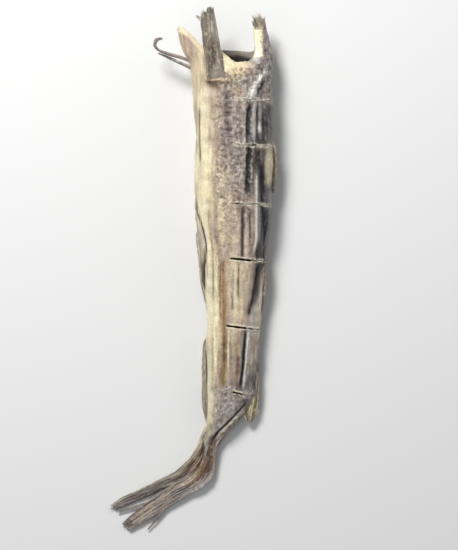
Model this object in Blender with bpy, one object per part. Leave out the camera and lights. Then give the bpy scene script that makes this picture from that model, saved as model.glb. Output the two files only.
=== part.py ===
"""Stockfish: one whole cod, headless, gutted and air-dried, lying on its side.

Metres, +Z up. The fish lies along Y, its neck towards +Y and its tail towards -Y and -X.
Its back is at +X, its belly at -X, its near flank faces up and it rests on its far flank.
The origin is on the surface that it rests on, under the middle of its bounding box.

Sizes below are in millimetres. Round the body, an angle of 0 is the back, 90 the near flank,
180 the belly and 270 (or -90) the far flank.
"""

import bmesh
import bpy
import numpy as np

MM = 0.001
WELD = 0.02 * MM

# Outlines of the body, as (place along Y, value).
BACK_LINE = [
    (307, 86), (292, 88), (273, 92.5), (262, 95.5), (250, 97), (228, 95.5), (156, 97), (84, 95), (36, 91), (12, 87),
    (-36, 83), (-132, 79), (-148, 76), (-168, 64), (-192, 47), (-208, 34), (-232, 20),
]
BELLY_LINE = [
    (307, -20), (292, -20), (276, -16), (262, -11), (247, -3), (204, 1), (156, 4), (108, 2),
    (60, 4), (12, 8), (-12, 10), (-36, 16), (-60, 18), (-96, 15), (-132, 15), (-168, 17),
    (-190, 17), (-208, 8), (-232, -4),
]
TOP_LINE = [
    (307, 45), (262, 53), (204, 58), (156, 58), (108, 56), (60, 51), (12, 45), (-36, 39),
    (-84, 34), (-132, 29), (-156, 26), (-180, 21), (-194, 16), (-204, 10.5), (-214, 7.5), (-232, 6),
]
UNDER_LINE = [
    (307, 15), (262, 5), (220, -2), (-120, -2), (-156, 0.5), (-190, 3), (-232, 3.5),
]
SQUARENESS = 2.4

# The neck: where each angle's wall ends, with a horn at the nape and one at the throat.
RIM_LINE = [
    (-165, 257), (-152, 267), (-130, 262), (-90, 264), (-45, 262), (-25, 275), (-10, 298),
    (5, 306), (26, 307), (34, 304), (38, 298), (40.5, 288), (42, 277), (44, 268), (48, 260), (53, 254),
    (60, 249.5), (69, 247), (83, 247), (86.5, 250), (90, 254.5), (93, 259), (96, 263), (112, 262), (118, 264),
    (122, 269), (127, 274), (132, 279), (138, 285), (150, 290), (160, 292), (170, 287),
    (180, 275), (195, 257),
]
NECK_Y = 247
NECK_ENDS_Y = 190
TAIL_ROOT_Y = -232
# The rim's own row of points turns in by this share of the wall, which bevels the cut edge.
RIM_TURN = 0.5

# The body cavity, open at the neck and along the belly slit as far as the vent.
VENT_Y = -12
CAVITY_TAPER = 130
SLIT_LINE = [
    (307, 195), (235, 195), (205, 184), (180, 168), (130, 164), (105, 167), (80, 158),
    (55, 144), (20, 135), (-12, 137),
]
SLIT_HALF_ANGLE = 2.6
FLAP_WALL = [(307, 3.5), (247, 4.5), (100, 5)]
BACK_WALL = [(307, 5), (262, 8), (225, 20), (150, 28)]
FLANK_WALL = [(307, 3.5), (262, 5), (225, 8), (100, 9)]

# Long creases that drying pulls into the near flank: (line across X, depth, half width, first Y, last Y).
CREASES = [
    ([(200, 24), (84, 27), (12, 35), (-60, 33), (-150, 33)], 2.2, 5.0, 100, -160),
    ([(204, 66), (114, 64), (48, 60), (12, 64), (-36, 69), (-72, 64), (-150, 57)], 4.0, 4.5, 200, -160),
    ([(60, 79), (0, 78), (-60, 80)], 2.0, 3.0, 80, -60),
]
FAR_CREASES = [
    ([(200, 76), (60, 76), (-150, 62)], 4.0, 6.0, 210, -160),
    ([(200, 16), (60, 19), (-150, 24)], 3.0, 5.0, 150, -160),
]
CREASE_FADE = 26
# The near flank's creases end, and the far flank's begin, over a narrow band round the back and the belly.
FLANK_EDGE = 2.5

# Low, uneven swellings of the dried flesh: (height, waves along Y in mm, waves round, where they start in degrees).
SWELLINGS = [(0.7, 61, 2, 20), (0.5, 37, 3, 140), (0.4, 23, 5, 75), (0.3, 15, 4, 200)]
SWELLING_FADE = 35

# Saw cuts across the near flank, from the flank to the back: (near Y, far Y, near X, far X).
CUTS = [
    (205, 202, 50, 92), (150, 147, 48, 96), (79, 78, 49, 94), (13.5, 9.5, 46, 88), (-67, -72, 41, 81),
    (-147, -151.5, 49, 70),
]
CUT_WIDTH = 2.4
CUT_DEPTH = 5.5
# A cut's foot is an arc between these shares of half a turn, so it is shallow at both ends.
CUT_ARC = (0.12, 0.94)
CUT_STEPS = 6
# The skin's height over a cut is worked out no nearer the outline than this share of the half width.
CUT_REACH = 0.999
ABOVE_THE_FISH = 80

# Dried fins. Each is a sheet between two edges of (x, y, z) points, with its half thickness and its sag.
PECTORAL_FORE = (
    [(17, 223, 53), (17, 234, 55), (15.5, 250, 57), (13, 266, 58), (11.5, 282, 59), (10, 294, 59), (12.5, 308, 58)],
    [(25, 221, 54), (23.5, 234, 57), (22, 250, 58), (21, 266, 59), (20, 282, 59), (18.5, 294, 59), (16.5, 307, 58)],
    2.0, 0.6,
)
PECTORAL_MAIN = (
    [(20, 221, 54), (20, 234, 57), (19, 250, 59), (18, 266, 60), (18, 282, 60), (18.5, 300, 59), (20, 313.5, 58)],
    [(43, 221, 54), (39, 234, 56), (36.5, 248, 57), (34, 264, 58), (31.5, 279, 58), (28.5, 296, 58), (25, 313, 57)],
    2.3, 0.9,
)
PECTORAL_BARB = ([(12.5, 301, 58), (8, 303, 57), (4, 304, 56)], [(12.5, 293, 58), (8, 298, 57), (3.5, 302, 56)], 1.2, 0.2)
FAR_PECTORAL = (
    [(12, 222, 3), (11, 240, 4), (13, 262, 6), (15, 282, 9)],
    [(34, 222, 3), (32, 240, 4), (27, 262, 6), (22, 284, 9)],
    2.2, 0.6,
)
UPPER_PELVIC = (
    [(2, 251, 34), (-14, 257, 35), (-32, 262, 36), (-40, 265, 37), (-43, 269.5, 38), (-41, 274, 38), (-35, 276.5, 38)],
    [(6, 245, 34), (-12, 252, 35), (-30, 257, 36), (-41, 262, 37), (-47, 269, 38), (-45, 277, 38), (-36, 279, 38)],
    1.5, 0.2,
)
LOWER_PELVIC = (
    [(2, 243, 31), (-14, 250, 32), (-28, 256, 32.5), (-42, 261, 33)],
    [(5, 237, 31), (-12, 245, 32), (-27, 252, 32.5), (-41, 259, 33)],
    1.4, 0.2,
)
FIRST_DORSAL = (
    [(86, 158, 40), (86, 140, 36), (87, 122, 33), (90, 104, 30), (96, 93, 28)],
    [(95, 158, 38), (100, 145, 33), (101.5, 126, 29), (101, 108, 27), (98, 92, 26)],
    2.4, 0.5,
)
SECOND_DORSAL = (
    [(78, 24, 30), (78, 0, 28), (75, -30, 24), (72, -62, 21)],
    [(89, 18, 27), (90.5, -6, 25), (87.5, -32, 22), (80, -66, 19)],
    2.2, 0.4,
)
THIRD_DORSAL = (
    [(70, -118, 21), (68, -138, 20), (64, -158, 18), (61, -172, 15), (66, -183, 12)],
    [(80, -124, 17), (80, -140, 16), (79, -160, 14), (77, -174, 11), (71, -186, 9)],
    2.4, 0.4,
)
FIRST_ANAL = (
    [(10, 60, 16), (4, 40, 15), (7, 12, 14), (9, -12, 13), (15, -40, 13)],
    [(18, 60, 16), (16, 40, 15), (18, 12, 14), (20, -12, 13), (24, -40, 13)],
    3.0, 0.3,
)
SECOND_ANAL = (
    [(20, -76, 16), (12.5, -90, 15), (11, -120, 13), (11, -155, 12), (17, -186, 10), (21, -194, 9)],
    [(30, -76, 16), (28, -90, 15), (28, -120, 13), (28, -155, 12), (27, -180, 10), (25, -194, 9)],
    3.2, 0.4,
)
TAIL_UPPER = (
    [
        (26, -180, 11), (15, -190, 13), (9, -201, 13), (5, -213, 13), (-1, -223, 12), (-10, -233, 11), (-22, -243, 10),
        (-37, -251, 9), (-53, -259, 8), (-70, -267, 7), (-87, -275, 5), (-101.4, -286, 4),
    ],
    [
        (38, -185, 10), (27, -194, 8), (20, -204, 6), (17, -216, 5), (14, -228, 4.5), (8, -240, 4), (-3, -252, 4),
        (-19, -259, 4), (-35, -265, 4), (-52, -273, 3.5), (-71, -281, 3), (-94, -290, 2.5),
    ],
    2.2, 1.2,
)
TAIL_LOWER = (
    [
        (31, -185, 8), (23, -197, 6), (16, -209, 5), (13, -222, 4.5), (8, -235, 4), (-1, -247, 4), (-14, -257, 4),
        (-29, -264, 4), (-45, -274, 4), (-59, -284, 4), (-74, -295, 4), (-86, -307, 4),
    ],
    [
        (52, -185, 11), (37, -200, 13), (29, -214, 13), (27.5, -228, 12), (26.5, -240, 11), (22, -252, 10),
        (12.5, -262, 9), (-3, -270, 8), (-19, -280, 7), (-35, -290, 6), (-55, -303, 5), (-76, -314.4, 4),
    ],
    2.4, 1.6,
)
TAIL_MIDDLE = (
    [(-20, -257, 5), (-36, -266, 5), (-56, -279, 4), (-72, -285, 3.5), (-91, -291, 3)],
    [(-26, -265, 4), (-38, -271, 4), (-56, -283, 4), (-71, -288, 3.5), (-90, -294, 3)],
    1.4, 0.2,
)
TAIL_STRAND = (
    [(-28, -283, 6), (-36, -294, 5), (-43.5, -303.5, 4), (-52, -312.5, 3)],
    [(-38, -286, 6), (-44, -298, 5), (-50, -307, 4), (-55, -314, 3)],
    1.3, 0.2,
)
FIN_ROUNDNESS = 0.7
FIN_TIP_THINNER = 0.4
# Each fin with how many columns and rows its mesh has.
FINS = {
    "pectoral_fore": (PECTORAL_FORE, 5, 11), "pectoral_main": (PECTORAL_MAIN, 7, 12),
    "pectoral_barb": (PECTORAL_BARB, 3, 4), "far_pectoral": (FAR_PECTORAL, 7, 9),
    "upper_pelvic": (UPPER_PELVIC, 3, 12), "lower_pelvic": (LOWER_PELVIC, 3, 8),
    "first_dorsal": (FIRST_DORSAL, 4, 9), "second_dorsal": (SECOND_DORSAL, 4, 9),
    "third_dorsal": (THIRD_DORSAL, 4, 9), "first_anal": (FIRST_ANAL, 4, 9), "second_anal": (SECOND_ANAL, 5, 12),
    "tail_upper": (TAIL_UPPER, 6, 16), "tail_lower": (TAIL_LOWER, 7, 16),
    "tail_middle": (TAIL_MIDDLE, 3, 9), "tail_strand": (TAIL_STRAND, 3, 6),
}

# The body's mesh: columns round it, closer on the near flank and where the rim is steep, and rows along it.
ANGLE_STEPS = 720
CAVITY_COLUMNS = 26
BODY_COLUMNS = 2 * CAVITY_COLUMNS - 1
NEAR_DENSITY = 0.7
NEAR_START = 0.15
NEAR_RISE = 2
RIM_PULL = 1.1
NECK_ROWS = 9
BODY_ROW_STEP = 11.5

FLESH = (0.66, 0.55, 0.38)


def through(points):
    """A smooth function through (place, value) points, level beyond both ends.

    Cubic Hermite, where each inner slope is the harmonic mean of its neighbours', or zero at a turn.
    """
    xs, ys = np.array(sorted(points), float).T
    rise = np.diff(ys) / np.diff(xs)
    product, total = rise[:-1] * rise[1:], rise[:-1] + rise[1:]
    inner = np.where(product > 0, 2 * product / np.where(total == 0, 1, total), 0)
    slopes = np.concatenate([[0], inner, [0]])

    def value(x):
        x = np.clip(x, xs[0], xs[-1])
        i = np.clip(np.searchsorted(xs, x) - 1, 0, len(xs) - 2)
        width = xs[i + 1] - xs[i]
        t = (x - xs[i]) / width
        ends = ys[i] * (1 + 2 * t) * (1 - t) ** 2 + ys[i + 1] * t * t * (3 - 2 * t)
        return ends + width * (slopes[i] * t * (1 - t) ** 2 - slopes[i + 1] * t * t * (1 - t))

    return value


back, belly = through(BACK_LINE), through(BELLY_LINE)
top, under = through(TOP_LINE), through(UNDER_LINE)
rim, slit = through(RIM_LINE), through(SLIT_LINE)
flap_wall, back_wall, flank_wall = through(FLAP_WALL), through(BACK_WALL), through(FLANK_WALL)


def signed_power(value, power):
    return np.sign(value) * np.abs(value) ** power


def section(angle, left, right, low, high):
    """(x, z) on the superellipse that fills a box, at an angle in degrees."""
    turn = np.radians(angle)
    across = signed_power(np.cos(turn), 2 / SQUARENESS)
    up = signed_power(np.sin(turn), 2 / SQUARENESS)
    return (left + right) / 2 + across * (right - left) / 2, (low + high) / 2 + up * (high - low) / 2


def step(value):
    """0 below 0, 1 above 1 and a smooth rise between them."""
    t = np.clip(value, 0, 1)
    return t * t * (3 - 2 * t)


def crease_depth(x, y, creases):
    """How deep a set of long creases pulls the skin in: a bell across each, fading at both ends."""
    depth = np.zeros(np.broadcast(x, y).shape)
    for line, most, half_width, first, last in creases:
        fade = step((first - y) / CREASE_FADE) * step((y - last) / CREASE_FADE)
        depth += most * fade * np.exp(-(((x - through(line)(y)) / half_width) ** 2))
    return depth


def swelling(angle, y):
    """How far the low swellings lift the skin at an angle and a place: a sum of crossed waves, nil past the neck."""
    total = 0
    for height, along, round_it, start in SWELLINGS:
        phase = np.radians(start)
        total = total + height * np.sin(2 * np.pi * y / along + phase) * np.cos(round_it * np.radians(angle) + phase)
    return total * step((NECK_Y - y) / SWELLING_FADE) * step((y - TAIL_ROOT_Y) / SWELLING_FADE)


def skin(angle, y):
    """Points on the body's skin: the section's superellipse, swollen and creased, and flat on the floor."""
    x, z = section(angle, belly(y), back(y), under(y), top(y))
    turn = np.radians(angle)
    near, far = step(np.sin(turn) * FLANK_EDGE), step(-np.sin(turn) * FLANK_EDGE)
    out = swelling(angle, y) - near * crease_depth(x, y, CREASES) - far * crease_depth(x, y, FAR_CREASES)
    x = x + out * np.cos(turn)
    z = np.maximum(z + out * np.sin(turn), 0)
    return np.stack([x, y + 0 * x, z], axis=-1)


def cavity_share(y):
    """How much of the full cavity is left at y: all of it at the neck, none past the vent."""
    t = np.clip((y - VENT_Y) / CAVITY_TAPER, 0, 1)
    return np.sqrt(1 - (1 - t) ** 2)


def lining(angle, y, at):
    """Points on the cavity's wall. Towards the vent the cavity shrinks onto the belly slit at angle `at`."""
    x, z = section(
        angle, belly(y) + flap_wall(y), back(y) - back_wall(y), under(y) + flank_wall(y), top(y) - flank_wall(y)
    )
    inside = np.stack([x, y + 0 * x, z], axis=-1)
    lip = skin(at + 0 * angle, y)
    return lip + cavity_share(y)[..., None] * (inside - lip)


def body_rows():
    """The rows' places along Y before the rim is shaped, and each row's share of the neck's stretch."""
    neck = np.linspace(NECK_Y, NECK_ENDS_Y, NECK_ROWS, endpoint=False)
    count = round((NECK_ENDS_Y - TAIL_ROOT_Y) / BODY_ROW_STEP)
    rest = np.linspace(NECK_ENDS_Y, TAIL_ROOT_Y, count + 1)
    stretch = np.concatenate([1 - np.arange(NECK_ROWS) / NECK_ROWS, np.zeros(count + 1)])
    return np.concatenate([neck, rest]), stretch


def unwound(angle):
    """The same angle between -165 and 195, the ends of the rim's line."""
    return (angle + 165) % 360 - 165


def column_shares(start, pull):
    """Shares of the way round from `start`. They are closer together on the near flank and, with `pull`, where
    the rim is steep, so that horns keep their edges."""
    share = np.linspace(0, 1, ANGLE_STEPS + 1)
    angle = unwound(start - 360 * share)
    density = 1 + NEAR_DENSITY * step(NEAR_RISE * (NEAR_START + np.sin(np.radians(angle))))
    travel = np.hypot(np.diff(360 * share) * density[:-1], pull * np.diff(rim(angle)))
    travel = np.concatenate([[0], np.cumsum(travel)])
    return np.interp(np.linspace(0, travel[-1], BODY_COLUMNS), travel, share)


def body_mesh():
    """(points, faces) of the body: one loop of skin and lining for each row, joined row to row.

    Each loop starts at the slit, goes over the near flank, the back and the far flank to the slit's
    other lip, and returns along the lining. Past the vent the lining has shrunk to one point.
    """
    rows, stretch = body_rows()
    share = cavity_share(rows)[:, None]
    at = slit(rows)[:, None]
    gap = SLIT_HALF_ANGLE * share
    even, at_rim = column_shares(slit(NECK_Y), 0), column_shares(slit(NECK_Y), RIM_PULL)
    round_skin = at - gap - (even + stretch[:, None] * (at_rim - even)) * (360 - 2 * gap)
    round_lining = round_skin[:, ::-2]

    def along(angle):
        return rows[:, None] + stretch[:, None] * (rim(unwound(angle)) - rows[0])

    y_skin, y_lining = along(round_skin), along(round_lining)
    outer = skin(round_skin, y_skin)
    outer[0] += RIM_TURN * (lining(round_skin, y_skin, at) - outer)[0]
    loops = np.concatenate([outer, lining(round_lining, y_lining, at)], axis=1)

    count, width = loops.shape[:2]
    index = np.arange(count * width).reshape(count, width)
    after = np.roll(index, -1, axis=1)
    faces = np.stack([index[:-1], after[:-1], after[1:], index[1:]], axis=-1).reshape(-1, 4).tolist()
    faces += rim_faces(index[0])
    tail_end = loops[-1, :BODY_COLUMNS].mean(axis=0)
    ring = index[-1]
    faces += [[a, b, count * width] for a, b in zip(ring, np.roll(ring, -1))]
    return np.vstack([loops.reshape(-1, 3), tail_end]), faces


def rim_faces(row):
    """Triangles over the neck's cut edge, from the skin's columns to the fewer ones of the lining."""
    outer, inner = row[:BODY_COLUMNS], row[BODY_COLUMNS:][::-1]
    faces = []
    for j in range(CAVITY_COLUMNS - 1):
        first, middle, last = outer[2 * j : 2 * j + 3]
        faces += [[middle, first, inner[j]], [middle, inner[j], inner[j + 1]], [last, middle, inner[j + 1]]]
    return faces


def sheet_mesh(edges, columns, rows):
    """(points, faces) of a dried fin: at each place along it, a flat oval from one edge to the other.

    The oval's middle sinks by the fin's sag, and it is FIN_TIP_THINNER thinner at the tip than at the start.
    """
    first, second, half_thickness, sag = edges
    t = np.linspace(0, 1, rows)

    def along(line):
        knots = np.linspace(0, 1, len(line))
        return np.stack([through(list(zip(knots, values)))(t) for values in np.array(line, float).T], axis=-1)

    a, b = along(first)[:, None], along(second)[:, None]
    angle = np.linspace(0, 2 * np.pi, columns * 2, endpoint=False)[None, :, None]
    across, up = np.cos(angle), np.sin(angle)
    forward = np.gradient((a + b)[:, 0], axis=0)[:, None]
    normal = np.cross(forward, b - a)
    normal /= np.linalg.norm(normal, axis=-1, keepdims=True)
    normal *= np.sign(normal[..., 2:])
    thick = half_thickness * (1 - FIN_TIP_THINNER * t[:, None, None])
    middle = (a + b) / 2 + (b - a) / 2 * across
    points = middle + normal * (thick * signed_power(up, FIN_ROUNDNESS) - sag * (1 - across**2))
    count, width = points.shape[:2]
    index = np.arange(count * width).reshape(count, width)
    after = np.roll(index, -1, axis=1)
    faces = np.stack([index[:-1], after[:-1], after[1:], index[1:]], axis=-1).reshape(-1, 4).tolist()
    for ring in (index[0], index[-1]):
        faces += [[ring[0], ring[1], ring[-1]], [ring[columns], ring[columns - 1], ring[columns + 1]]]
        faces += [[ring[k], ring[k + 1], ring[-k - 1], ring[-k]] for k in range(1, columns - 1)]
    return points.reshape(-1, 3), faces


def add_solid(name, mesh_data, collection, material=None):
    """A mesh object from (points in millimetres, faces), welded, with its faces pointing out."""
    points, faces = mesh_data
    mesh = bpy.data.meshes.new(name)
    mesh.from_pydata((points * MM).tolist(), [], faces)
    work = bmesh.new()
    work.from_mesh(mesh)
    bmesh.ops.remove_doubles(work, verts=work.verts, dist=WELD)
    bmesh.ops.dissolve_degenerate(work, edges=work.edges, dist=WELD)
    bmesh.ops.recalc_face_normals(work, faces=work.faces)
    if work.calc_volume(signed=True) < 0:
        bmesh.ops.reverse_faces(work, faces=work.faces)
    bmesh.ops.triangulate(work, faces=work.faces)
    work.to_mesh(mesh)
    work.free()
    if material:
        mesh.materials.append(material)
    made = bpy.data.objects.new(name, mesh)
    collection.objects.link(made)
    return made


def dried_skin():
    material = bpy.data.materials.new("dried_skin")
    material.use_nodes = True
    shader = material.node_tree.nodes["Principled BSDF"]
    shader.inputs["Base Color"].default_value = (*FLESH, 1)
    shader.inputs["Roughness"].default_value = 0.55
    shader.inputs["Metallic"].default_value = 0.0
    return material


def add_cutters(collection):
    """One thin slab for each saw cut, its foot CUT_DEPTH under the skin."""
    half = CUT_WIDTH / 2
    corners = [(-half, 0), (half, 0), (half, 1), (-half, 1)]
    for number, (y_near, y_far, x_near, x_far) in enumerate(CUTS):
        x, y = np.linspace(x_near, x_far, CUT_STEPS), np.linspace(y_near, y_far, CUT_STEPS)
        left, right, low, high = belly(y), back(y), under(y), top(y)
        out = np.clip(np.abs((x - (left + right) / 2) / ((right - left) / 2)), 0, CUT_REACH)
        surface = (low + high) / 2 + (high - low) / 2 * (1 - out**SQUARENESS) ** (1 / SQUARENESS)
        surface -= crease_depth(x, y, CREASES)
        foot = surface - CUT_DEPTH * np.sqrt(np.sin(np.pi * np.linspace(*CUT_ARC, CUT_STEPS)))
        loops = np.stack(
            [np.stack([x, y + aside, foot + up * (ABOVE_THE_FISH - foot)], axis=-1) for aside, up in corners], axis=1
        )
        index = np.arange(4 * CUT_STEPS).reshape(CUT_STEPS, 4)
        after = np.roll(index, -1, axis=1)
        faces = np.stack([index[:-1], after[:-1], after[1:], index[1:]], axis=-1).reshape(-1, 4).tolist()
        faces += [index[0].tolist()[::-1], index[-1].tolist()]
        cutter = add_solid(f"cut_{number}", (loops.reshape(-1, 3), faces), collection)
        cutter.hide_render = True
        cutter.display_type = "WIRE"


def join_and_cut(body, added, removed):
    """Applies one Boolean union with the fins and one difference with the saw cuts, then clears both collections."""
    for operation, collection in (("UNION", added), ("DIFFERENCE", removed)):
        modifier = body.modifiers.new(operation.lower(), "BOOLEAN")
        modifier.operation = operation
        modifier.operand_type = "COLLECTION"
        modifier.collection = collection
        modifier.solver = "EXACT"
    whole = bpy.data.meshes.new_from_object(body.evaluated_get(bpy.context.evaluated_depsgraph_get()))
    body.modifiers.clear()
    body.data = whole
    for collection in (added, removed):
        for piece in list(collection.objects):
            bpy.data.objects.remove(piece)
        bpy.data.collections.remove(collection)


def main():
    for old in list(bpy.data.objects):
        bpy.data.objects.remove(old)
    scene = bpy.context.scene.collection
    groups = {name: bpy.data.collections.new(name) for name in ("stockfish", "fins", "saw_cuts")}
    for group in groups.values():
        scene.children.link(group)
    body = add_solid("stockfish", body_mesh(), groups["stockfish"], dried_skin())
    for name, (edges, columns, rows) in FINS.items():
        add_solid(name, sheet_mesh(edges, columns, rows), groups["fins"])
    add_cutters(groups["saw_cuts"])
    join_and_cut(body, groups["fins"], groups["saw_cuts"])
    body.data.shade_smooth()
    body.data.set_sharp_from_angle(angle=np.radians(40))


main()
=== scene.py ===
"""The looks of a stockfish: one headless, gutted cod, air-dried until it is hard, sawn across its back.

The skin is one closed surface worked out on a grid. Each dried fin is a ribbed sheet, and the fibres in the
saw cuts and along torn edges are small tapered strands. Plan sizes are in millimetres on the part's own
axes: +Y to the neck, +X to the back, +Z up out of the flank that shows. Round the body, an angle of 0 is
the back, 90 the near flank, 180 the belly and 270 the far flank.
"""

import bpy
import numpy as np
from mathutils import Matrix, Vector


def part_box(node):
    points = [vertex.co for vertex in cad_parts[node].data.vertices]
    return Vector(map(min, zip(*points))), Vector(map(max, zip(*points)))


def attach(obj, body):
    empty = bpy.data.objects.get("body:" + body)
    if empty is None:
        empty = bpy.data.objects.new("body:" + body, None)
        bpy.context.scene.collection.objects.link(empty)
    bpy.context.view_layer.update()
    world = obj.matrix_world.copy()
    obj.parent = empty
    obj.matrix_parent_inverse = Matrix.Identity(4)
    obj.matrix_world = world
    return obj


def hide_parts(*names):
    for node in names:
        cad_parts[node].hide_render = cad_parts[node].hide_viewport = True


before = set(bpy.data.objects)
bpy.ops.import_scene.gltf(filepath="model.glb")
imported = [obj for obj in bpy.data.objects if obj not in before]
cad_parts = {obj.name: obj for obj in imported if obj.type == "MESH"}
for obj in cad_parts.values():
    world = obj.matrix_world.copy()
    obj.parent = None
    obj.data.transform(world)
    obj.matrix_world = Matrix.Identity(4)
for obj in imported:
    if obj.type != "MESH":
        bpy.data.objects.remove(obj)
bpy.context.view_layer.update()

fish_low, fish_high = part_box("stockfish")

# The plan's own corner and length, and the metres that one of its millimetres takes.
PLAN_CORNER = np.array([-101.4, -314.4, 0.0])
PLAN_LENGTH = 627.9
UNIT = (fish_high.y - fish_low.y) / PLAN_LENGTH

# Outlines of the body, as (Y, X) points for its two edges and (Y, Z) points for its upper and lower sides.
BACK_LINE = [
    (307, 86), (292, 88), (273, 92.5), (262, 95.5), (250, 97), (228, 95.5), (156, 97), (84, 95), (36, 91),
    (12, 87), (-36, 83), (-132, 79), (-148, 76), (-168, 64), (-192, 47), (-208, 34), (-232, 20),
]
BELLY_LINE = [
    (307, -20), (292, -20), (276, -16), (262, -11), (247, -3), (204, 1), (156, 4), (108, 2), (60, 4),
    (12, 8), (-12, 10), (-36, 16), (-60, 18), (-96, 15), (-132, 15), (-168, 17), (-190, 17), (-208, 8),
    (-232, -4),
]
TOP_LINE = [
    (307, 45), (262, 53), (204, 58), (156, 58), (108, 56), (60, 51), (12, 45), (-36, 39), (-84, 34),
    (-132, 29), (-156, 26), (-180, 21), (-194, 16), (-204, 10.5), (-214, 7.5), (-232, 6),
]
UNDER_LINE = [(307, 15), (262, 5), (220, -2), (-120, -2), (-156, 0.5), (-190, 3), (-232, 3.5)]
SQUARENESS = 2.4
TAIL_ROOT_Y = -232

# The neck: (angle, Y) points where the wall ends, with a horn at the nape and one at the throat. Its edge
# is turned in over the bevel.
RIM_LINE = [
    (-165, 257), (-152, 267), (-130, 262), (-90, 264), (-45, 262), (-25, 275), (-10, 298), (5, 306),
    (26, 307), (34, 304), (38, 298), (40.5, 288), (42, 277), (44, 268), (48, 260), (53, 254), (60, 249.5),
    (69, 248), (83, 248), (86.5, 250), (90, 254.5), (93, 259), (96, 263), (112, 262), (118, 264),
    (122, 269), (127, 274), (132, 279), (138, 285), (150, 290), (160, 292), (170, 287), (180, 275),
    (195, 257),
]
NECK_Y = 247
NECK_ENDS_Y = 212
RIM_BEVEL = 8.5
RIM_TURN = 0.85

# The body cavity, open at the neck and along the belly slit as far as the vent. The slit's line is (Y,
# angle) points, and the walls are (Y, thickness) points.
VENT_Y = -12
CAVITY_TAPER = 130
SLIT_LINE = [
    (307, 195), (235, 195), (205, 184), (180, 168), (130, 164), (105, 167), (80, 158), (55, 144), (20, 135),
    (-12, 137),
]
SLIT_HALF_ANGLE = 2.2
FLAP_WALL = [(307, 3.5), (247, 4.5), (100, 5)]
BACK_WALL = [(307, 5), (262, 8), (225, 20), (150, 28)]
FLANK_WALL = [(307, 3.5), (262, 5), (225, 8), (100, 9)]

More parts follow.
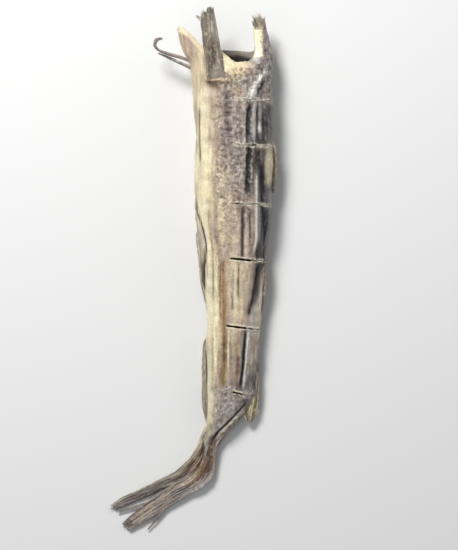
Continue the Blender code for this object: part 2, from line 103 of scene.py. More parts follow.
# Long folds of the near flank: (line as (Y, X) points, depth, half width, first Y, last Y, colour, how
# strongly it colours). A negative depth is a ridge. The dark colours in the deeper grooves are partly the
# skin's own lines and partly painted shade, and the frost and silver along ridges are painted highlights.
NEAR_FOLDS = [
    # The belly flap's rounded lip and the lines beside it.
    ([(200, 9), (150, 9), (130, 9.5)], 1.4, 1.1, 190, 128, "olive", 0.9),
    ([(220, 15), (120, 14), (60, 17), (12, 21), (-60, 21.5), (-150, 21)],
     -1.5, 4.5, 225, -190, "bright_cream", 0.5),
    ([(72, 5), (60, 9), (46, 13.5), (30, 16), (18, 16), (0, 13.5), (-36, 13.5), (-150, 16.5)],
     2.4, 1.1, 84, -186, "umber", 0.85),
    ([(60, 20), (20, 24.5), (0, 25), (-80, 25), (-150, 24)], 0.9, 1.0, 70, -150, "straw", 0.4),
    # The groove along the middle of the flank, its brown band and the streaks beside it.
    ([(14, 36.5), (-50, 37.2), (-90, 38.5), (-150, 37)], 1.3, 3.3, 12, -142, "ochre", 0.8),
    ([(12, 33.5), (-40, 33), (-150, 33)], 0.5, 1.0, 8, -60, "brown", 0.7),
    ([(-60, 43.5), (-150, 43)], -0.9, 1.0, -72, -120, "bright_cream", 0.8),
    ([(204, 41), (150, 43)], 0.8, 2.2, 205, 160, "brown", 0.7),
    ([(12, 55.5), (-40, 55)], 1.0, 1.2, 8, -34, "olive", 0.85),
    ([(12, 49), (-50, 48)], 0.5, 1.0, 0, -50, "olive", 0.4),
    # The long crease above the backbone's line, and the ridge between it and the dark back. Umber and black
    # in the creases are partly painted shade; frost and silver on the ridge are painted highlights.
    ([(200, 63.5), (130, 63)], -0.9, 0.9, 190, 116, "pink", 0.7),
    ([(210, 69), (170, 66.5), (148, 66.5)], 4.6, 2.3, 198, 156, "umber", 0.95),
    ([(149, 69), (130, 67.5), (112, 66.5), (90, 66)], 3.8, 3.4, 148, 92, "umber", 0.9),
    ([(74, 60), (50, 60.5), (14, 60)], 2.6, 1.6, 74, 12, "dark_brown", 0.9),
    ([(72, 69.5), (36, 69.5)], 1.2, 0.9, 70, 34, "brown", 0.8),
    ([(80, 65), (14, 65)], -0.8, 2.4, 70, 12, "pink", 0.4),
    ([(215, 76), (196, 74), (150, 74)], -1.6, 2.6, 214, 152, "silver", 0.35),
    ([(148, 76), (100, 77), (40, 77), (18, 74)], -2.0, 1.6, 112, 20, "frost", 0.9),
    ([(60, 78.5), (14, 78)], 1.6, 2.4, 28, 8, "umber", 0.8),
    ([(196, 78.2), (150, 78)], 2.4, 1.4, 197, 152, "umber", 0.9),
    ([(176, 80.6), (166, 80.2)], -0.9, 1.0, 174, 168, "frost", 1),
    ([(171, 74.6), (164, 74.8)], -0.5, 1.0, 170, 166, "frost", 0.9),
    ([(186, 84.5), (160, 84.5)], 1.6, 2.8, 182, 160, "black", 0.85),
    # The glossy streak from the nape's horn, painted in frost as a highlight, the dark hollow beside it,
    # partly painted shade, and the horn's pale inner face.
    ([(240, 87), (232, 83), (223, 77.5), (213, 72.5), (206, 70)], -2.4, 3.2, 236, 205, "frost", 1),
    ([(246, 89), (232, 85.5)], -1.2, 1.5, 246, 232, "frost", 0.55),
    ([(228, 85.5), (220, 82.5), (213, 79.5), (204, 78)], 2.2, 2.4, 224, 207, "slate", 0.85),
    ([(252, 81), (236, 80)], 1.2, 2.0, 250, 236, "dark_brown", 0.5),
    ([(298, 77), (254, 77)], 0.3, 2.4, 290, 262, "bright_cream", 0.95),
    ([(298, 81), (254, 81)], 0.8, 0.9, 290, 258, "dark_grey", 0.7),
    # The dark back: black and umber in its grooves are partly painted shade, and the frost along its
    # ridges is a painted highlight.
    ([(196, 86), (150, 86)], -1.0, 4.5, 200, 150, "slate", 0.5),
    ([(160, 82), (118, 82.5), (80, 84), (64, 85.5), (40, 87), (12, 87)], 2.6, 4.0, 128, 12, "black", 0.9),
    ([(13, 80.5), (0, 79.5), (-8, 78.5), (-24, 76), (-40, 72), (-50, 69), (-60, 67.5)],
     3.6, 3.2, 8, -56, "umber", 1),
    ([(4, 86), (-16, 84), (-30, 82), (-50, 80.5)], -1.4, 1.8, 2, -50, "frost", 0.85),
    ([(3, 91), (-25, 87.5), (-45, 86), (-66, 82)], -1.2, 2.0, 6, -62, "cream", 0.7),
    ([(-76, 64), (-110, 61.5), (-143, 58.5)], 3.6, 1.8, -73, -142, "umber", 0.95),
    ([(-76, 66.8), (-110, 64.2), (-143, 61.3)], -1.6, 0.9, -78, -142, "frost", 0.75),
    ([(-112, 78.5), (-143, 77.5)], 1.6, 3.2, -120, -146, "umber", 0.8),
    # The tail's wedge: the sharp crease along its back edge, painted black as shade, and the paler strip
    # beyond it.
    ([(-154, 66), (-160, 64), (-180, 46.5), (-199, 28.5), (-214, 21)], 3.4, 1.7, -158, -214, "black", 0.9),
    ([(-160, 69), (-180, 51.5), (-199, 33), (-214, 25)], -0.8, 2.0, -164, -212, "grey_cream", 0.6),
    ([(-150, 21), (-190, 21)], -0.7, 2.6, -148, -196, "cream", 0.7),
]
# Long folds of the far flank, in the same columns; the umber and olive-brown in its deeper grooves are partly
# painted shade.
FAR_FOLDS = [
    ([(200, 76), (60, 76), (-150, 62)], 4.0, 4.0, 210, -160, "umber", 0.8),
    ([(200, 16), (60, 19), (-150, 24)], 3.0, 3.0, 150, -160, "olive_brown", 0.8),
    ([(200, 48), (60, 44), (-150, 42)], 1.6, 2.0, 220, -150, "brown", 0.7),
    ([(200, 62), (60, 60), (-150, 52)], -1.4, 3.0, 200, -150, "pink", 0.4),
    ([(200, 30), (60, 30), (-150, 33)], -1.0, 3.0, 200, -150, "cream", 0.4),
]
FOLD_FADE = 14

# Low swellings of the skin: (height, length along Y, waves round the body, start in degrees).
SWELLINGS = [(0.4, 61, 2, 20), (0.35, 37, 3, 140), (0.25, 23, 5, 75), (0.2, 15, 4, 200)]
SWELLING_FADE = 35

# How quickly the near flank's looks give way to the far flank's, round the body's two edges.
FLANK_EDGE = 2.5

# Saw cuts: (Y at the belly's end, Y at the back's end, X at both), and how far each stands open along X.
CUTS = [
    ((205, 202, 50, 92), [(50, 0), (66, 0.05), (72, 0.15), (78, 0), (92, 0.1)]),
    ((150, 147, 48, 96), [(48, 0), (53, 0.5), (57, 0), (64, 0.05), (68, 0.5), (75, 0.7), (79, 0.1), (96, 0)]),
    ((79, 78, 49, 94), [(49, 0.5), (57, 0.55), (62, 0.2), (74, 0.4), (79, 0.05), (94, 0.1)]),
    ((13.5, 9.5, 46, 88), [(46, 1), (73, 1), (75.5, 0.3), (88, 0.15)]),
    ((-67, -72, 41, 81),
     [(41, 1), (63, 1), (65, 0.35), (67, 0.35), (69, 1), (71.5, 0.9), (73.5, 0.2), (81, 0.1)]),
    ((-147, -151.5, 49, 70), [(49, 1), (55, 0.9), (58, 0.5), (70, 0.3)]),
]
# A cut's half width, how far a closed cut wanders, its depth, the part of a half wave that its foot
# follows, how quickly its walls fall, how quickly it ends, and its lips' distance, width and rise.
CUT_HALF_WIDTH = 1.15
CUT_WANDER = 1.7
CUT_DEPTH = 5.5
CUT_ARC = (0.12, 0.94)
CUT_WALL = 0.3
CUT_END_FADE = 1.2
CUT_LIP_AWAY = 0.9
CUT_LIP_WIDTH = 1.15
CUT_LIP_RISE = 0.6
# How far the grid's rows stand to each side of a cut's middle.
CUT_OFFSETS = (5.6, 4.3, 3.4, 2.7, 2.15, 1.7, 1.4, 1.2, 1.0, 0.55)

# The body's grid: its columns, how many of them the lining skips, the neck's rows and the other rows'
# spacing, how much closer the columns stand on the near flank, and how strongly a steep rim draws them
# together.
SKIN_COLUMNS = 189
LINING_EVERY = 4
NECK_ROWS = 52
ROW_STEP = 1.35
NEAR_DENSITY = 2.6
RIM_PULL = 0.9

# Colours as they look in soft daylight: red, green and blue from 0 to 255.
COLOURS = {
    "bright_cream": (236, 226, 188), "butter": (234, 214, 172), "cream": (220, 204, 168),
    "buff": (202, 185, 154), "grey_cream": (196, 186, 160), "straw": (206, 182, 138),
    "peach": (190, 160, 128), "tan": (178, 156, 134), "grey_tan": (158, 141, 126), "ochre": (166, 132, 88),
    "brown": (136, 108, 80), "red_brown": (116, 86, 62), "dark_brown": (88, 66, 55), "umber": (54, 43, 40),
    "olive": (134, 116, 78), "olive_brown": (112, 94, 62), "olive_grey": (150, 142, 118),
    "mauve": (142, 128, 122), "dusk": (120, 112, 113), "grey": (150, 142, 131), "dark_grey": (100, 93, 90),
    "slate": (62, 60, 66), "black": (32, 29, 33), "silver": (173, 167, 162), "frost": (222, 215, 206),
    "blue_grey": (136, 130, 122), "drab": (110, 100, 84), "dim_brown": (84, 74, 61),
    "fin_grey": (126, 120, 109), "pale_mauve": (170, 158, 150), "pink": (184, 158, 144),
    "orange": (198, 158, 118), "rose": (208, 183, 168),
}


def linear(name):
    """One of the named colours as the light that a surface sends back, from the screen's curve."""
    value = np.array(COLOURS[name]) / 255
    return np.where(value <= 0.04045, value / 12.92, ((value + 0.055) / 1.055) ** 2.4)


def through(points):
    """A smooth function through (place, value) points, level beyond both ends.

    Cubic Hermite, where each inner slope is the harmonic mean of its neighbours', or zero at a turn.
    """
    xs, ys = np.array(sorted(points), float).T
    rise = np.diff(ys) / np.diff(xs)
    product, total = rise[:-1] * rise[1:], rise[:-1] + rise[1:]
    inner = np.where(product > 0, 2 * product / np.where(total == 0, 1, total), 0)
    slopes = np.concatenate([[0], inner, [0]])

    def value(x):
        x = np.clip(x, xs[0], xs[-1])
        i = np.clip(np.searchsorted(xs, x) - 1, 0, len(xs) - 2)
        width = xs[i + 1] - xs[i]
        t = (x - xs[i]) / width
        ends = ys[i] * (1 + 2 * t) * (1 - t) ** 2 + ys[i + 1] * t * t * (3 - 2 * t)
        return ends + width * (slopes[i] * t * (1 - t) ** 2 - slopes[i + 1] * t * t * (1 - t))

    return value


back, belly = through(BACK_LINE), through(BELLY_LINE)
top, under = through(TOP_LINE), through(UNDER_LINE)
rim, slit = through(RIM_LINE), through(SLIT_LINE)
flap_wall, back_wall, flank_wall = through(FLAP_WALL), through(BACK_WALL), through(FLANK_WALL)


def step(value):
    """0 below 0, 1 above 1 and a smooth rise between them."""
    t = np.clip(value, 0, 1)
    return t * t * (3 - 2 * t)


def bell(value):
    """1 at 0, falling smoothly to nothing past 2 on either side."""
    return np.exp(-(value**2))


def lattice(i, j, k, seed):
    """A repeatable number from -1 to 1 at each lattice point, its coordinates mixed by large odd factors."""
    mixed = (i * 73856093 ^ j * 19349663 ^ k * 83492791 ^ seed * 40503) & 0xFFFFFFFF
    mixed = (mixed ^ mixed >> 15) * 739982445 & 0xFFFFFFFF
    mixed = (mixed ^ mixed >> 13) * 695872825 & 0xFFFFFFFF
    return (mixed ^ mixed >> 16) / 2**31 - 1


def noise(points, across, along, seed):
    """Smooth noise from -1 to 1: lattice values in cells `across` by `along` by `across`, smoothly blended.

    Each `seed` gives a pattern of its own.
    """
    cell = points / np.array([across, along, across]) + 0.37
    low = np.floor(cell).astype(np.int64)
    t = step(cell - low)
    total = 0
    for corner in range(8):
        side = np.array([corner & 1, corner >> 1 & 1, corner >> 2])
        weight = np.prod(np.where(side == 1, t, 1 - t), axis=-1)
        total = total + weight * lattice(*np.moveaxis(low + side, -1, 0), seed)
    return total


def layered(points, across, along, seed, layers=3):
    """Noise in layers, each with cells half as large and half as strong as the one before."""
    total = sum(noise(points, across / 2**n, along / 2**n, seed + n) / 2**n for n in range(layers))
    return total / (2 - 0.5 ** (layers - 1))


def wrinkled(points, across, along, seed):
    """Sharp-topped wrinkles from 0 to 1: high where smooth noise passes through zero."""
    return (1 - np.clip(np.abs(noise(points, across, along, seed)) * 2.4, 0, 1)) ** 1.5


def signed_power(value, power):
    """A power of the value's size, with the value's own sign."""
    return np.sign(value) * np.abs(value) ** power


def section(angle, left, right, low, high):
    """(x, z) on the superellipse that fills a box, at an angle in degrees."""
    turn = np.radians(angle)
    across = signed_power(np.cos(turn), 2 / SQUARENESS)
    up = signed_power(np.sin(turn), 2 / SQUARENESS)
    return (left + right) / 2 + across * (right - left) / 2, (low + high) / 2 + up * (high - low) / 2


def swelling(angle, y):
    """How far crossed waves lift the skin at an angle and a place. They fade at the neck and the tail."""
    total = 0
    for height, along, round_it, start in SWELLINGS:
        phase = np.radians(start)
        wave = height * np.sin(2 * np.pi * y / along + phase)
        total = total + wave * np.cos(round_it * np.radians(angle) + phase)
    return total * step((NECK_Y - y) / SWELLING_FADE) * step((y - TAIL_ROOT_Y) / SWELLING_FADE)


def smooth_skin(angle, y):
    """Points on the body's skin before it is wrinkled: the section's superellipse with its low swellings."""
    x, z = section(angle, belly(y), back(y), under(y), top(y))
    turn = np.radians(angle)
    out = swelling(angle, y)
    return np.stack([x + out * np.cos(turn), y + 0 * x, z + out * np.sin(turn)], axis=-1)


def cavity_share(y):
    """How much of the full cavity is left at y: all of it at the neck, none past the vent."""
    t = np.clip((y - VENT_Y) / CAVITY_TAPER, 0, 1)
    return np.sqrt(1 - (1 - t) ** 2)


def lining(angle, y, at):
    """Points on the cavity's wall. Towards the vent the cavity shrinks onto the belly slit at angle `at`."""
    left, right = belly(y) + flap_wall(y), back(y) - back_wall(y)
    x, z = section(angle, left, right, under(y) + flank_wall(y), top(y) - flank_wall(y))
    inside = np.stack([x, y + 0 * x, z], axis=-1)
    lip = smooth_skin(at + 0 * angle, y)
    return lip + cavity_share(y)[..., None] * (inside - lip)


def unwound(angle):
    """The same angle between -165 and 195, the ends of the rim's line."""
    return (angle + 165) % 360 - 165


def body_rows():
    """The rows' places along Y before the rim is shaped, and each row's share of the neck's stretch.

    Rows are evenly spaced except round a saw cut, where they crowd towards its two walls.
    """
    neck = np.linspace(NECK_Y, NECK_ENDS_Y, NECK_ROWS, endpoint=False)
    even = np.linspace(NECK_ENDS_Y, TAIL_ROOT_Y, round((NECK_ENDS_Y - TAIL_ROOT_Y) / ROW_STEP) + 1)
    offsets = np.array([*CUT_OFFSETS, 0, *(-np.array(CUT_OFFSETS))])
    for (y_near, *_), _ in CUTS:
        even = even[np.abs(even - y_near) > max(CUT_OFFSETS) + ROW_STEP / 2]
    at_cuts = np.concatenate([y_near + offsets for (y_near, *_), _ in CUTS])
    rest = np.sort(np.concatenate([even, at_cuts]))[::-1]
    stretch = np.concatenate([1 - step(np.arange(NECK_ROWS) / NECK_ROWS), np.zeros(len(rest))])
    return np.concatenate([neck, rest]), stretch


def column_shares(start, pull):
    """Shares of the way round from `start`, for the grid's columns.

    They are closer together on the near flank and, with `pull`, where the rim is steep, so that horns keep
    their edges.
    """
    share = np.linspace(0, 1, 2881)
    angle = unwound(start - 360 * share)
    density = 1 + NEAR_DENSITY * step(0.45 + 1.6 * np.sin(np.radians(angle)))
    flat = np.abs(np.sin(np.radians(angle)) * np.cos(np.radians(angle))) ** 0.35 + 0.35
    travel = np.hypot(np.diff(360 * share) * density[:-1] / flat[:-1], pull * np.diff(rim(angle)))
    travel = np.concatenate([[0], np.cumsum(travel)])
    return np.interp(np.linspace(0, travel[-1], SKIN_COLUMNS), travel, share)


def cut_lean(x, y):
    """How far a row leans at x, so that the rows at a saw cut follow it: blended from cut to cut along Y."""
    lean = through([(y_near, y_far - y_near) for (y_near, y_far, *_), _ in CUTS])
    near_x = through([(y_near, x_near) for (y_near, _, x_near, _), _ in CUTS])
    far_x = through([(y_near, x_far) for (y_near, _, _, x_far), _ in CUTS])
    return lean(y) * np.clip((x - near_x(y)) / (far_x(y) - near_x(y)), 0, 1)


def saw_cuts(points):
    """(depth, how dark, how pale) of the saw cuts at points of the near flank.

    A cut's walls fall steeply at a ragged half width, its foot is an arc, and its lips are pale and a
    little raised. Where a cut stands open, its inside gets painted shade.
    """
    x, y = points[..., 0], points[..., 1]
    depth, painted_cut_shade, lip = np.zeros(x.shape), np.zeros(x.shape), np.zeros(x.shape)
    for number, ((y_near, y_far, x_near, x_far), opening) in enumerate(CUTS):
        s = (x - x_near) / (x_far - x_near)
        open_here = through(opening)(x + 1.2 * noise(points, 4, 4, 60 + number))
        closed = 1 - step(open_here * 1.6)
        wobble = CUT_WANDER * closed * noise(points * (1, 0, 1), 7, 50, 50 + number)
        d = y - (y_near + (y_far - y_near) * np.clip(s, 0, 1)) - wobble
        from_start, from_end = s * (x_far - x_near), (1 - s) * (x_far - x_near)
        within = step(from_start / CUT_END_FADE + 0.6) * step(from_end / CUT_END_FADE + 0.6)
        ragged = CUT_HALF_WIDTH * (1 + 0.25 * noise(points, 3.1, 50, 70 + number))
        half = ragged * (0.3 + 0.7 * step(open_here * 1.5))
        inside = step((half - np.abs(d)) / CUT_WALL + 0.5) * within
        arc = np.sqrt(np.sin(np.pi * np.interp(np.clip(s, 0, 1), [0, 1], CUT_ARC)))
        depth += CUT_DEPTH * arc * inside * open_here
        # Painted shade inside the open part of the cut.
        painted_cut_shade += inside * step(open_here * 1.7 - 0.25)
        past = np.abs(d) - half
        beside = bell((past - CUT_LIP_AWAY) / CUT_LIP_WIDTH) * step(past / 0.5 + 0.2)
        broken = step(0.75 + 1.5 * noise(points, 2.6, 2.6, 80 + number))
        lip += (0.85 * beside * broken + inside * (1 - step(open_here * 2))) * within
        depth -= CUT_LIP_RISE * beside * within * (0.7 + 0.9 * noise(points, 2.2, 2.2, 90 + number))
    return depth, np.clip(painted_cut_shade, 0, 1), np.clip(lip, 0, 1)


def fold_reach(points, folds, seed):
    """Each long fold's row, how present it is at each point, and the distance from its line over its width.

    The lines wander a little, and a fold fades out at both ends.
    """
    x, y = points[..., 0], points[..., 1]
    wander = 0.7 * noise(points, 400, 46, seed) + 0.4 * noise(points, 60, 15, seed + 1)
    for fold in folds:
        line, _, half_width, first, last = fold[:5]
        present = step((first - y) / FOLD_FADE + 0.4) * step((y - last) / FOLD_FADE + 0.4)
        yield fold, present, (x + wander - through(line)(y)) / half_width


def fold_depth(points, folds, seed):
    """How deep the long folds pull the skin in: for each, a narrow cusp in a wider bell."""
    total = np.zeros(points.shape[:-1])
    for (_, depth, *_), present, away in fold_reach(points, folds, seed):
        total += depth * present * (0.55 * np.exp(-1.5 * np.abs(away)) + 0.45 * bell(away / 1.3))
    return total


def folds_tinted(points, tint, folds, seed):
    """The tint with each long fold's colour along its line, over a bell of its width with an uneven edge."""
    uneven = 1 + 0.35 * noise(points, 3, 9, seed + 3) + 0.2 * noise(points, 1.6, 3, seed + 4)
    for (*_, colour, strength), present, away in fold_reach(points, folds, seed):
        # Some folds' colours are painted shade in grooves, and some painted highlights on ridges.
        tint = washed(tint, colour, strength * present * bell(away * 0.95) * uneven)
    return tint


# Where the skin changes its kind. The tail's wedge starts past the last saw cut, leans by its slope across
# X, and keeps clear of the belly. The shoulder's scales start above the belly and grow weaker towards the
# tail.
WEDGE_Y, WEDGE_SLOPE, WEDGE_BELLY_X = -140, 0.1, 24
SHOULDER_X, SHOULDER_FADE, SHOULDER_LOW_Y, SHOULDER_LENGTH = 22, 12, -20, 140
SMOOTH_BACK_X, SMOOTH_BACK_Y = 70, 204
# The skin fold over the near pectoral fin's base, the hollow behind it and the bare flesh above it.
BASE_FOLD_Y, BASE_FOLD_SLOPE, BASE_FOLD_X = 226.5, 0.05, (13, 47)
BASE_HOLLOW, BASE_HOLLOW_REACH, BASE_HOLLOW_SLOPE = (25, 219), (9, 5), 0.3
BARE_FLESH, BARE_FLESH_REACH = (44, 246), (8, 8)


def spot(points, place, reach):
    """1 at a plan place, falling smoothly to nothing past twice its reach across and along."""
    return bell((points[..., 0] - place[0]) / reach[0]) * bell((points[..., 1] - place[1]) / reach[1])


def tail_wedge(points):
    """1 on the scaly grey skin in front of the tail, past the last saw cut, and 0 elsewhere."""
    x, y = points[..., 0], points[..., 1]
    upper = WEDGE_Y + 5 * noise(points, 7, 7, 31) - WEDGE_SLOPE * (x - 45)
    return step((upper - y) / 5 + 0.5) * step((x - WEDGE_BELLY_X - 2 * noise(points, 6, 8, 32)) / 3)


def scaliness(points):
    """How scaly the near flank is, from 0 on the cream belly to 1 on the shoulder and the tail's wedge."""
    x, y = points[..., 0], points[..., 1]
    from_belly = step((x - SHOULDER_X - 5 * noise(points, 14, 20, 33)) / SHOULDER_FADE)
    shoulder = from_belly * (0.25 + 0.75 * step((y - SHOULDER_LOW_Y) / SHOULDER_LENGTH))
    smooth_back = step((x - SMOOTH_BACK_X) / 4) * step((SMOOTH_BACK_Y - y) / 6)
    return np.maximum(shoulder * (1 - 0.8 * smooth_back), 0.7 * tail_wedge(points))


def fin_base(points):
    """(fold, hollow): where skin folds over the near pectoral fin's base, and the hollow behind the fold."""
    x, y = points[..., 0], points[..., 1]
    line = BASE_FOLD_Y - BASE_FOLD_SLOPE * (x - 30) + 1.2 * noise(points, 7, 50, 34)
    across = step((x - BASE_FOLD_X[0]) / 5) * step((BASE_FOLD_X[1] - x) / 6)
    along_hollow = (y - BASE_HOLLOW[1] + BASE_HOLLOW_SLOPE * (x - 26)) / BASE_HOLLOW_REACH[1]
    hollow = bell(along_hollow) * bell((x - BASE_HOLLOW[0]) / BASE_HOLLOW_REACH[0])
    return across * bell((y - line) / 1.5), hollow


def bare_flesh(points):
    """1 on the pale bare flesh between the near pectoral fin and the neck's edge, and 0 elsewhere."""
    return step(1.5 * spot(points, BARE_FLESH, BARE_FLESH_REACH))


def relief(points, near, folds, seed):
    """Height in millimetres of the skin's relief over the smooth body.

    Long folds are pulled in, drying wrinkles and fibres run along the fish, and scaly skin is crumpled both
    ways.
    """
    scaly = np.where(near > 0.5, scaliness(points), 0.4)

    def uneven(height, across, along, number, kind=noise):
        return height * kind(points, across, along, seed + number)

    long_wrinkles = uneven(0.5, 7, 75, 2, layered) + uneven(0.4, 8, 80, 5, wrinkled)
    fibres = uneven(0.22, 2.4, 30, 6) + uneven(0.12, 1.5, 14, 7)
    crumple = uneven(0.6, 5.0, 6.5, 8, wrinkled) + uneven(0.55, 3.0, 4.0, 9)
    crumple = crumple - uneven(0.45, 3.8, 4.8, 11, wrinkled) + uneven(0.35, 1.8, 2.2, 12)
    low_lumps = uneven(0.8, 21, 34, 10)
    total = long_wrinkles * (1 - 0.4 * scaly) + fibres * (1 - 0.6 * scaly) + crumple * (0.12 + 0.88 * scaly)
    return total + low_lumps - fold_depth(points, folds, seed)


def sunk(height, rows, columns):
    """How far each point of a grid lies below the mean of those within some rows and columns of it."""
    mean = height
    for axis, reach in ((0, rows), (1, columns)):
        ends = [(reach + 1, reach) if k == axis else (0, 0) for k in (0, 1)]
        total = np.cumsum(np.pad(mean, ends, mode="edge"), axis=axis)
        size = mean.shape[axis]
        upper = np.take(total, np.arange(size) + 2 * reach + 1, axis=axis)
        mean = (upper - np.take(total, np.arange(size), axis=axis)) / (2 * reach + 1)
    return mean - height


def outward(grid):
    """Unit normals of a grid of points, pointing away from the body's middle line."""
    normal = np.cross(np.gradient(grid, axis=1), np.gradient(grid, axis=0))
    normal /= np.maximum(np.linalg.norm(normal, axis=-1, keepdims=True), 1e-9)
    y = grid[..., 1]
    from_middle = grid - np.stack([(back(y) + belly(y)) / 2, y, (top(y) + under(y)) / 2], axis=-1)
    return normal * np.where((normal * from_middle).sum(-1, keepdims=True) < 0, -1, 1)


# How sharply one band of colour gives way to the next: 1 over the whole gap between them, more over less of
# it.
BAND_SHARPNESS = 1.7
